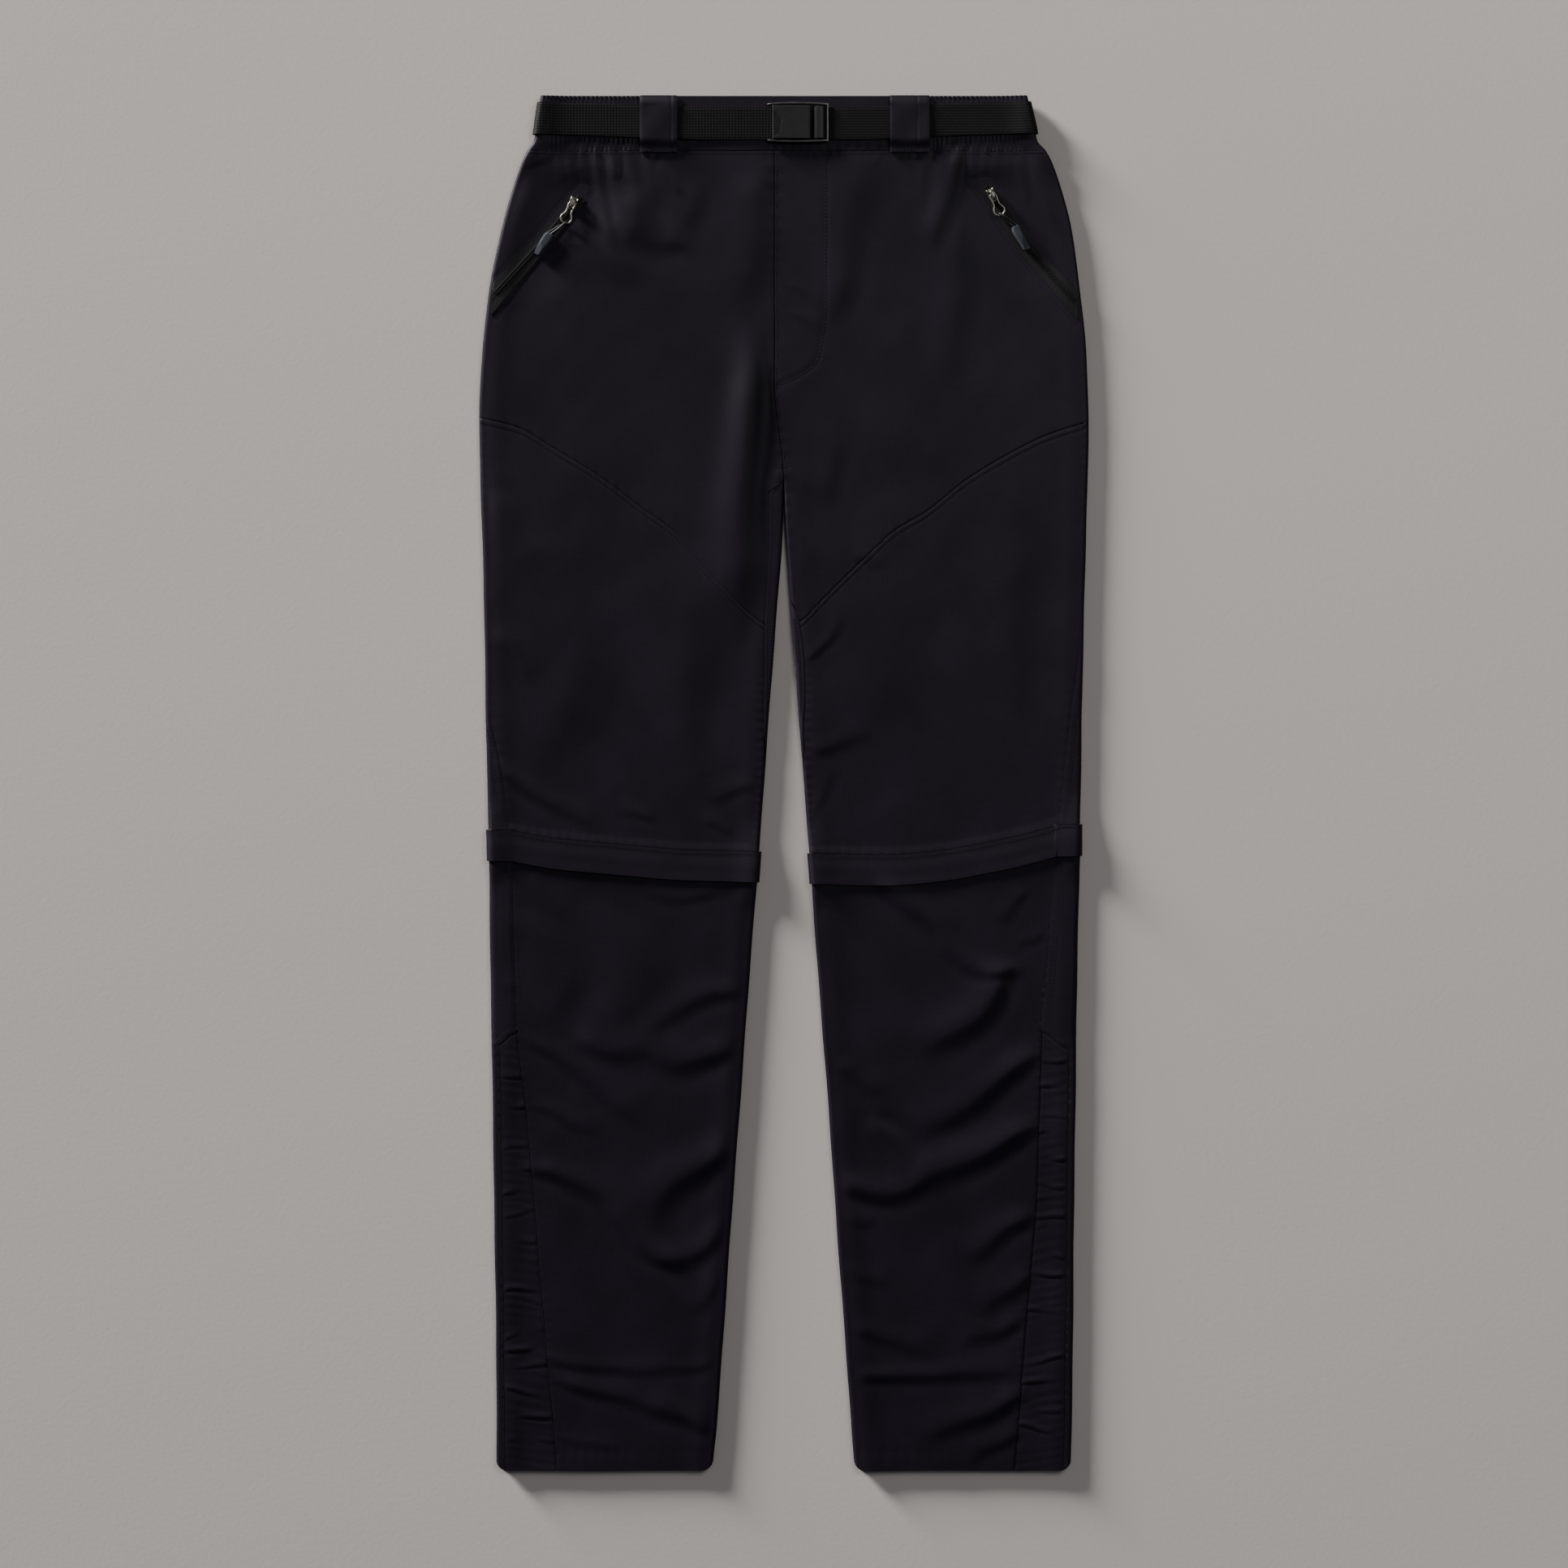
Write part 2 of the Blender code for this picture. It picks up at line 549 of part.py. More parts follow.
def legs(materials, collection):
    """Front and back panels, knee flaps, knee zips, ankle gussets and ankle zips of both legs."""
    cloth, zip_tape = materials["cloth"], materials["zip"]
    uppers = {}
    for side in (-1, 1):
        name = side_name(side)

        def yoke(x, side=side):
            return yoke_seam(side, x)

        def knee(x, side=side):
            return knee_seam(side, x)

        def zip_foot(x, side=side):
            return knee_seam(side, x) + KNEE_ZIP

        def flap_foot(x, side=side):
            return knee_seam(side, x) + KNEE_FLAP

        def waist(x):
            return WAISTBAND + 0.0 * x

        def hem(x):
            return LENGTH + 0.0 * x

        def on_surface(x, down):
            return waist_lift(down) + 0.0 * x

        def on_flap(x, down, side=side):
            return knee_lift_under(side, x, down)

        def lifted(x, down):
            return FLAP_OUT + 0.0 * x

        upper = front_panel(side, 7, np.linspace(0.0, 1.0, 13), waist, yoke, on_surface)
        thigh = front_panel(side, 7, np.linspace(0.0, 1.0, 11), yoke, knee, on_surface)
        knee_zip = front_panel(side, 7, (0.0, 1.0), knee, zip_foot, lifted)
        flap = front_panel(side, 7, (0.0, 0.5, 1.0), knee, flap_foot, lifted, FLAP_OUT)
        shin_shares = [0.0, 0.025, 0.05, *np.linspace(0.09, 1.0, 16)]
        shin = front_panel(side, 7, shin_shares, zip_foot, hem, on_flap)
        uppers[name] = grid_faces(upper)
        wall("front_upper_" + name, upper, CLOTH, cloth, collection)
        wall("front_thigh_" + name, thigh, CLOTH, cloth, collection)
        wall("front_shin_" + name, shin, CLOTH, cloth, collection)
        wall("knee_zip_front_" + name, knee_zip, CLOTH, zip_tape, collection)
        wall("knee_flap_front_" + name, flap, CLOTH, cloth, collection)

        def lip(down, side=side):
            return outer_lip(side, down)

        def calf_lip(down, side=side):
            wide = outer_lip(side, np.minimum(down, GUSSET_TOP))
            narrowed = np.maximum(wide - np.maximum(down - GUSSET_TOP, 0.0) / GUSSET_SLOPE, ANKLE_ZIP[0])
            return np.where(down < GUSSET_TOP, wide, narrowed)

        corner = outer_edge(side, GUSSET_TOP) - outer_lip(side, GUSSET_TOP)

        def gusset_top(x, corner=corner):
            return GUSSET_TOP + 4.0 * SEAM + GUSSET_SLOPE * np.maximum(np.abs(x) - corner, 0.0)

        def zip_start(down):
            return ANKLE_ZIP[0] + FOLD_SEAM + 0.0 * down

        def zip_end(down):
            return ANKLE_ZIP[1] - SEAM + 0.0 * down

        def gusset_start(down):
            return ANKLE_ZIP[1] + SEAM + 0.0 * down

        def gusset_end(down, side=side):
            return outer_lip(side, down) - 2.0 * SEAM

        even = np.linspace(0.0, 1.0, 2 * GUSSET_GATHERS + 1)
        gusset = strip(side, 3, even, gusset_top, hem, gusset_start, gusset_end)
        gusset[1][1::2, 1:-1] += GUSSET_GATHER_HEIGHT
        wall("ankle_gusset_" + name, gusset, CLOTH, cloth, collection)
        ankle_zip = strip(side, 1, np.linspace(0.0, 1.0, 11), gusset_top, hem, zip_start, zip_end)
        wall("ankle_zip_" + name, ankle_zip, CLOTH, zip_tape, collection)

        back_outer = [*upper[2][:, 0], *thigh[2][1:, 0]]
        back_inner = [*upper[2][:, -1], *thigh[2][1:, -1]]
        wall("back_thigh_" + name, back_panel(side, back_outer, back_inner, lip, on_surface),
             CLOTH, cloth, collection)
        wall("knee_zip_back_" + name, back_panel(side, knee_zip[2][:, 0], knee_zip[2][:, -1], lip, lifted),
             CLOTH, zip_tape, collection)
        wall("knee_flap_back_" + name,
             back_panel(side, flap[2][:, 0], flap[2][:, -1], lip, lifted, FLAP_OUT),
             CLOTH, cloth, collection)
        above = int(np.sum(shin[2][:, 0] < GUSSET_TOP - 8.0))
        below = np.array([GUSSET_TOP, GUSSET_TOP + 7.0, *ankle_zip[2][:, 0]])
        calf_outer = [*shin[2][:above, 0], *below]
        calf_inner = [*shin[2][:above, -1], *(below + (below[-1] - below) * KNEE_SKEW)]
        wall("back_calf_" + name, back_panel(side, calf_outer, calf_inner, calf_lip, on_flap),
             CLOTH, cloth, collection)
    return uppers


def waist(materials, collection):
    """Two plain front halves, and the gathered band that runs from one belt tunnel round to the other."""
    cloth = materials["cloth"]
    rows = np.array([SEAM, 0.33 * WAISTBAND, 0.67 * WAISTBAND, WAISTBAND - SEAM])
    for side, start, end in ((-1, -BAND_JOIN, CENTRE_FRONT), (1, CENTRE_FRONT, BAND_JOIN)):
        x = np.linspace(start + SEAM, end - SEAM, 5)[None, :] + 0.0 * rows[:, None]
        down = rows[:, None] + 0.0 * x
        z = top_height(side, x, down)
        wall("waistband_front_" + side_name(side), (x, z, down), CLOTH, cloth, collection)

    columns = []
    for side in (-1, 1):
        flat = outer_edge(side, rows) - FOLD_RADIUS - BAND_JOIN - SEAM
        steps = 2 * int(round(float(flat.mean()) / GATHER_PITCH))
        half = []
        for i in range(steps + 1):
            x, z = outer_point(side, QUARTER + flat * (1.0 - i / steps), rows)
            half.append((x, z + GATHER_HEIGHT * (i % 2 * 2 - 1) * (0 < i < steps), rows))
        for turn in (0.5, 0.0, -0.5, -1.0):
            x, z = outer_point(side, turn * QUARTER + 0.0 * rows, rows)
            half.append((x, z, rows))
        columns += half if side < 0 else half[::-1]
    grid = tuple(np.stack([column[i] for column in columns], axis=1) for i in range(3))
    wall("waistband_back", grid, CLOTH, cloth, collection)


def belt(materials, collection):
    """Webbing from the buckle's left bar, round the back, to its right bar, and the two tunnels."""
    columns = []
    for side, start in ((-1, BUCKLE_BAR[0] - 2.0 * SEAM), (1, BUCKLE[1] + 2.0 * SEAM)):
        half = []
        edge_x = outer_edge(side, belt_middle(side * BELT_FOLD_X)) - FOLD_RADIUS
        straight = np.linspace(abs(start), edge_x - BELT_BEND[0], 7)
        places = [*straight, *(edge_x - step for step in BELT_BEND[1:])]
        for x in side * np.array(places):
            down = belt_middle(x) + np.array([-0.5, 0.5]) * WEBBING
            x = x + 0.0 * down
            if abs(x[0]) > edge_x - 0.01:
                x = side * (outer_edge(side, down) - FOLD_RADIUS)
            half.append((x, top_height(side, x, down) + BELT_OUT, down))
        for turn in (0.67, 0.33, 0.0, -0.33, -0.67, -1.0):
            down = belt_middle(side * BELT_FOLD_X) + np.array([-0.5, 0.5]) * WEBBING
            x, z = outer_point(side, turn * QUARTER + 0.0 * down, down, BELT_OUT)
            half.append((x, z, down))
        columns += half if side < 0 else half[::-1]
    grid = tuple(np.stack([column[i] for column in columns], axis=1) for i in range(3))
    wall("belt", grid, WEBBING_THICK, materials["webbing"], collection)

    rows, over = np.array(TUNNEL_ROWS), np.array(TUNNEL_RISE)
    low = LAYER + GATHER_HEIGHT
    for side, (start, end) in ((-1, LOOP_LEFT), (1, LOOP_RIGHT)):
        x = np.linspace(start, end, 5)[None, :] + 0.0 * rows[:, None]
        down = rows[:, None] + 0.0 * x
        z = top_height(side, x, down) + low + (LOOP_OUT - low) * over[:, None]
        wall("belt_tunnel_" + side_name(side), (x, z, down), CLOTH, materials["cloth"], collection)


def block(name, low, high, bevel, material, collection, segments=2):
    """A block between two corners, in metres, with rounded edges."""
    mesh = bpy.data.meshes.new(name)
    shape = bmesh.new()
    bmesh.ops.create_cube(shape, size=1.0)
    bmesh.ops.scale(shape, vec=[b - a for a, b in zip(low, high)], verts=shape.verts)
    bmesh.ops.translate(shape, vec=[0.5 * (a + b) for a, b in zip(low, high)], verts=shape.verts)
    shape.to_mesh(mesh)
    shape.free()
    mesh.materials.append(material)
    obj = bpy.data.objects.new(name, mesh)
    collection.objects.link(obj)
    if bevel:
        edge = obj.modifiers.new("Rounded edges", "BEVEL")
        edge.width = bevel
        edge.segments = segments
    return obj


def join(obj, others, guides):
    """Join the other blocks to one."""
    for other in others:
        for collection in list(other.users_collection):
            collection.objects.unlink(other)
        guides.objects.link(other)
        other.hide_render = True
        other.display_type = "WIRE"
        boolean = obj.modifiers.new("Joined " + other.name, "BOOLEAN")
        boolean.operation = "UNION"
        boolean.object = other
        boolean.solver = "EXACT"


def buckle(materials, collection, guides):
    """A frame of two rails and two bars, a cover plate over the left bar, and a broad round bar."""
    base = float(top_height(-1, np.array(BUCKLE[0]), np.array(belt_middle(0.0)))) + 0.5 * CLOTH + 0.3

    def at(x, down, z):
        return (x * MM, (0.5 * LENGTH - down) * MM, (base + z) * MM)

    rails = []
    for name, start, end in (("top rail", BUCKLE_DOWN[0], BUCKLE_DOWN[0] + RAIL),
                             ("bottom rail", BUCKLE_DOWN[1] - RAIL, BUCKLE_DOWN[1])):
        rails.append(block(name, at(BUCKLE[0], end, 0.0), at(BUCKLE[1], start, BUCKLE_THICK),
                           RAIL_BEVEL * MM, materials["metal"], collection))
    bars = []
    for name, start, end, top in (("left bar", *BUCKLE_BAR, LEFT_BAR_TOP),
                                  ("right bar", BUCKLE[1] - END_BAR_WIDTH, BUCKLE[1], END_BAR_TOP)):
        bars.append(block(name, at(start, BUCKLE_DOWN[1] - BAR_OVERLAP, BAR_LOW),
                          at(end, BUCKLE_DOWN[0] + BAR_OVERLAP, top), 0.0, materials["metal"], collection))
    frame = rails[0]
    frame.name = "buckle_frame"
    join(frame, [rails[1], *bars], guides)
    inside = (BUCKLE_DOWN[0] + RAIL + 0.3, BUCKLE_DOWN[1] - RAIL - 0.3)
    block("buckle_plate", at(PLATE[0], inside[1], PLATE_HEIGHTS[0]),
          at(PLATE[1], inside[0], PLATE_HEIGHTS[1]),
          PLATE_BEVEL * MM, materials["plate"], collection)
    block("buckle_bar", at(ROUND_BAR[0], inside[1], ROUND_BAR_HEIGHTS[0]),
          at(ROUND_BAR[1], inside[0], ROUND_BAR_HEIGHTS[1]),
          ROUND_BAR_BEVEL * MM, materials["plate"], collection, 3)


def resting_height(panel, x, down, reach):
    """Height of the middle of a panel's wall: the highest place within reach of each point."""
    points, quads = panel
    tree = BVHTree.FromPolygons(points, quads)
    heights = []
    for px, pd in zip(np.ravel(x), np.ravel(down)):
        found = []
        for turn in range(9):
            step = reach * (turn > 0)
            angle = turn * math.pi / 4.0
            start = (px + step * math.cos(angle), 0.5 * LENGTH - pd + step * math.sin(angle), 50.0)
            place = tree.ray_cast(start, (0.0, 0.0, -1.0))[0]
            if place is not None:
                found.append(place.z)
        heights.append(max(found))
    return np.reshape(heights, np.shape(x))


def pocket_zips(materials, collection, panels):
    """The zip lies on the panel, from its slider to the outer fold, and widens towards the fold."""
    for name, pocket in POCKETS.items():
        side = pocket["side"]
        edges = np.array(pocket["edges"])
        shares = np.linspace(0.0, 1.0, 9)[:, None]
        knots = np.linspace(0.0, 1.0, len(edges))
        upper_x, upper_d, lower_x, lower_d = (np.interp(shares, knots, edges[:, i]) for i in range(4))
        across = np.linspace(0.0, 1.0, 3)[None, :]
        x = upper_x + (lower_x - upper_x) * across
        down = upper_d + (lower_d - upper_d) * across
        x = side * np.minimum(np.abs(x), outer_edge(side, down) - FOLD_RADIUS - 0.3)
        z = resting_height(panels[name], x, down, ZIP_REACH) + ZIP_OUT
        wall("pocket_zip_" + name, (x, z, down), ZIP_THICK, materials["zip"], collection)


def wire(name, points, radius, material, collection, closed=False, sides=2):
    """A round wire through the given points, in metres."""
    curve = bpy.data.curves.new(name, "CURVE")
    curve.dimensions = "3D"
    curve.bevel_depth = radius
    curve.bevel_resolution = sides
    curve.use_fill_caps = not closed
    spline = curve.splines.new("POLY")
    spline.points.add(len(points) - 1)
    for point, place in zip(spline.points, points):
        point.co = (*place, 1.0)
    spline.use_cyclic_u = closed
    curve.materials.append(material)
    obj = bpy.data.objects.new(name, curve)
    collection.objects.link(obj)
    return obj


def pulls(materials, collection, guides, panels):
    """Sliders on the zips, each with a metal puller on its crossbar, a cord and a tab."""
    for name, pocket in POCKETS.items():
        x, down = pocket["slider"]
        z = float(resting_height(panels[name], np.array([x]), np.array([down]), SLIDER_REACH)[0])
        hinge = np.array([x, 0.5 * LENGTH - down, z + HINGE_RISE])
        places = [np.array([px, 0.5 * LENGTH - pd, z]) for px, pd in
                  (pocket["puller"], pocket["cord"], pocket["tab"])]
        pull_end, tab_top, tab_end = places
        ahead = pull_end - hinge
        ahead[2] = 0.0
        reach = float(np.hypot(ahead[0], ahead[1]))
        ahead /= reach
        beside = np.array([-ahead[1], ahead[0], 0.0])

        body_low = z + ZIP_OUT + 0.5 * ZIP_THICK + 0.3
        half_length, half_width, thick = 0.5 * SLIDER[0], 0.5 * SLIDER[1], SLIDER[2]
        base = block("slider_" + name, (-half_length * MM, -half_width * MM, body_low * MM),
                     (half_length * MM, half_width * MM, (body_low + thick) * MM), SLIDER_BEVEL * MM,
                     materials["metal"], collection)
        top = body_low + thick
        arch = []
        for label, start, end, low in (("near post", POST[0], POST[1], POST_FOOT),
                                       ("far post", -POST[1], -POST[0], POST_FOOT),
                                       ("bridge", -POST[1], POST[1], BRIDGE_UNDER)):
            arch.append(block(label + " " + name, (start * MM, -BRIDGE_HALF_WIDTH * MM, (top + low) * MM),
                              (end * MM, BRIDGE_HALF_WIDTH * MM, (top + BRIDGE_TOP) * MM), 0.0,
                              materials["metal"], collection))
        turn = math.atan2(ahead[1], ahead[0])
        for piece in (base, *arch):
            piece.location = (hinge[0] * MM, hinge[1] * MM, 0.0)
            piece.rotation_euler = (0.0, 0.0, turn)
        join(base, arch, guides)

        bend = [(math.cos(a) - 1.0, math.sin(a)) for a in np.linspace(-1.2, 1.2, 7)]
        round_end = [(reach + PULLER_END_RADIUS * c, PULLER_END_RADIUS * s) for c, s in bend]
        loop = [(0.0, -PULLER_BAR_HALF), *round_end, (0.0, PULLER_BAR_HALF)]
        puller = [tuple((hinge + ahead * u + beside * v) * MM) for u, v in loop]
        wire("puller_" + name, puller, PULLER_WIRE * MM, materials["metal"], collection, closed=True)

        tab_middle = z + TAB_RISE
        pull_eye = hinge + ahead * reach
        to_tab = tab_top - pull_eye
        to_tab[2] = 0.0
        gap = float(np.hypot(to_tab[0], to_tab[1]))
        to_tab /= gap
        across = np.array([-to_tab[1], to_tab[0], 0.0])
        cord = []
        for along, sideways, rise in CORD_LOOP:
            start = pull_eye + to_tab * along + across * sideways
            cord.append(start + np.array([0.0, 0.0, rise]))
        strand = np.array([0.0, 0.0, tab_middle - tab_top[2]])
        first, last = (tab_top + across * apart + strand for apart in (CORD_APART, -CORD_APART))
        cord = [first, *cord, last]
        wire("pull_cord_" + name, [tuple(p * MM) for p in cord], CORD_RADIUS * MM, materials["tab"], collection)

        down_tab = tab_end - tab_top
        down_tab[2] = 0.0
        length = float(np.hypot(down_tab[0], down_tab[1]))
        down_tab /= length
        width, thick = TAB
        tab = block("pull_tab_" + name, (0.0, -0.5 * width * MM, -0.5 * thick * MM),
                    (length * MM, 0.5 * width * MM, 0.5 * thick * MM), TAB_BEVEL * MM,
                    materials["tab"], collection)
        for vertex in tab.data.vertices:
            vertex.co.y *= 1.0 - TAB_TAPER * (vertex.co.x > 0.5 * length * MM)
        start = tab_top + down_tab * (CORD_RADIUS + 0.3)
        tab.location = (start[0] * MM, start[1] * MM, tab_middle * MM)
        tab.rotation_euler = (0.0, 0.0, math.atan2(down_tab[1], down_tab[0]))


def build():
    for obj in list(bpy.data.objects):
        bpy.data.objects.remove(obj, do_unlink=True)
    collection = bpy.data.collections.new("zip_off_trousers")
    guides = bpy.data.collections.new("cutters")
    bpy.context.scene.collection.children.link(collection)
    bpy.context.scene.collection.children.link(guides)
    materials = {
        "cloth": make_material("Nylon cloth", CLOTH_COLOUR, 0.72),
        "webbing": make_material("Belt webbing", WEBBING_COLOUR, 0.8),
        "zip": make_material("Zip tape", ZIP_COLOUR, 0.75),
        "metal": make_material("Antique silver", METAL_COLOUR, 0.38, 1.0),
        "plate": make_material("Buckle plate", PLATE_COLOUR, 0.45),
        "tab": make_material("Pull rubber", TAB_COLOUR, 0.55),
    }
    panels = legs(materials, collection)
    waist(materials, collection)
    belt(materials, collection)
    buckle(materials, collection, guides)
    pocket_zips(materials, collection, panels)
    pulls(materials, collection, guides, panels)


build()
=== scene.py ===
import json
import math

import bpy
import numpy as np
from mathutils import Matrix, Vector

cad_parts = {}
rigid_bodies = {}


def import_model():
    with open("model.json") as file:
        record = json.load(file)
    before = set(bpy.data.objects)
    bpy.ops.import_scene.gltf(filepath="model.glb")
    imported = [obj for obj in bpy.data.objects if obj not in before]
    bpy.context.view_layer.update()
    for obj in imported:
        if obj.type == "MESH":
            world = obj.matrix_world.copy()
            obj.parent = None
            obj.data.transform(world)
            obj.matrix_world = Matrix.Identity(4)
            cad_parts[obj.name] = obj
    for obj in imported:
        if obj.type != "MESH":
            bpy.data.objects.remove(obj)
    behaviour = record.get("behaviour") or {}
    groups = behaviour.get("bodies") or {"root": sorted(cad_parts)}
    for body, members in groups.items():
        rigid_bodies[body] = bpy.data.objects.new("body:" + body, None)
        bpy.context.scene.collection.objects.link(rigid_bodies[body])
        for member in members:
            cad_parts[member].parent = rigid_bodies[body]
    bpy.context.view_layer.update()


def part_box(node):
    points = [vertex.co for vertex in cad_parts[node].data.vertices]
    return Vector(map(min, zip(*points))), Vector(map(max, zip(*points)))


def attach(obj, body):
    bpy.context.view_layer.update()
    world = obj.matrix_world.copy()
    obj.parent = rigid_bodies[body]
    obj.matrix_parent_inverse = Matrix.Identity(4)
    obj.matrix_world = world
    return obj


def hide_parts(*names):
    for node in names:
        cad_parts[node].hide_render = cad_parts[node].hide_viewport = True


for leftover in list(bpy.data.objects):
    bpy.data.objects.remove(leftover, do_unlink=True)
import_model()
mm = 0.001

garment = {
    "length": 1085.0,
    "cloth": 1.2,
    "seam": 0.12,           # from a seam's line to the cloth's cut edge
    "foldSeam": 0.35,       # the same where the seam lies on the roll of a fold
    "foldRadius": 2.1,      # roll of the cloth at the edges
    "layerRoom": 0.3,       # between the layers at the waist
    "beltThick": 1.5,
    "restGap": 0.6,         # between front and back where the cloth lies close
    "puffReach": 12.0,      # how far the roll at an edge reaches in
    "crotch": 310.0,
    "waistband": 43.5,
    "centreFront": -7.7,
    "flyBend": 222.0,
    "bandJoin": 99.0,       # from the centre to where the elastic begins
    "kneeZip": 16.0,
    "kneeFlap": 24.5,
    "flapOut": 1.8,         # how far the flap lies above the zip
    "gatherRoom": 0.45,
    "level": 4.4,           # height of the front, and what the waist adds
    "waistLevel": 0.8,
    "pocketLoft": 0.9,
    "foldShare": 0.42,      # share of a fold's height, and what broad folds add
    "broadShare": 0.5,
    "gussetTop": 736.0,
    "gussetSlope": 0.75,
    "hemRound": 9.0,
    "hemCurve": 30.0,
}
clothThick, seamRoom, foldRadius, gatherRoom, layerRoom, beltThick = (
    garment[key] for key in ("cloth", "seam", "foldRadius", "gatherRoom", "layerRoom", "beltThick"))
crotch, waistband, flapOut, gussetTop, gussetSlope, hem = (
    garment[key] for key in ("crotch", "waistband", "flapOut", "gussetTop", "gussetSlope", "length"))
halfCloth = 0.5 * clothThick
middleDown = 0.5 * hem
quarter = 0.5 * math.pi * foldRadius
waistRise = layerRoom + beltThick + gatherRoom

outline = {
    "down": (0, 24, 36, 43.5, 52.5, 78, 104, 155, 206, 257, 310, 334, 410, 513, 590, 692, 820, 948, 1085),
    "outerLeft": (192, 195.5, 197.5, 202.5, 206.7, 215.7, 222.7, 233, 238.7, 240.6, 239.4, 238.7, 236.8, 234.9,
                  233.4, 231.7, 229.8, 227.8, 226.8),
    "outerRight": (192, 197.5, 200, 206.5, 211.5, 220.5, 227, 234, 238.7, 240.6, 239.8, 238.9, 236.8, 235,
                   233.6, 231.7, 229.8, 228.5, 226.8),
    "inseam": (0, 0, 0, 0, 0, 0, 0, 0, 0, 0, 0, 0.6, 6, 13.5, 19.2, 26.9, 36.5, 45.7, 55.6),
}
# how far the side seam and the inseam lie in from their folds, on the front
lips = {
    "down": (0, 300, 314, 395, 417, 446, 475, 500, 537, 575, 603, 683, 733, 800, 868, 962, 1085),
    "outerLeft": (1.2, 1.2, 1.2, 1.2, 1.2, 1.2, 2, 6.4, 12.8, 16.4, 18.5, 20, 20.6, 26.8, 32, 38.4, 48.4),
    "outerRight": (1.2, 1.2, 1.2, 1.2, 2, 4.6, 7.8, 10.4, 14, 17.3, 20, 23.4, 27.6, 29.4, 30.6, 37.6, 45.4),
    "innerLeft": (1.2, 1.2, 12, 9.8, 9.3, 7.4, 5.6, 3.8, 1.2, 1.2, 1.2, 1.2, 1.2, 1.2, 1.2, 1.2, 1.2),
    "innerRight": (1.2, 1.2, 1.2, 1.2, 7, 8.3, 7.2, 4.2, 1.2, 1.2, 1.2, 1.2, 1.2, 1.2, 1.2, 1.2, 1.2),
}
# the slanted seam and the seam at the top of the knee flap, by the distance in from the edge
yoke = {
    "edge": 240.0,
    "in": (0, 31, 54, 96, 126, 153, 172, 194, 212, 226, 240),
    "left": (254, 262, 275.5, 301.5, 324, 343.5, 367, 390, 408, 418, 424),
    "right": (257, 267, 278, 303, 327, 343.5, 361, 382, 400, 414, 422),
}
knee = {
    "edge": 235.0,
    "in": (0, 14, 26, 57, 117, 161, 216),
    "left": (581, 578.5, 580.5, 586, 591, 594.5, 596),
    "right": (575, 574, 577, 585, 595.5, 598.5, 597.5),
}

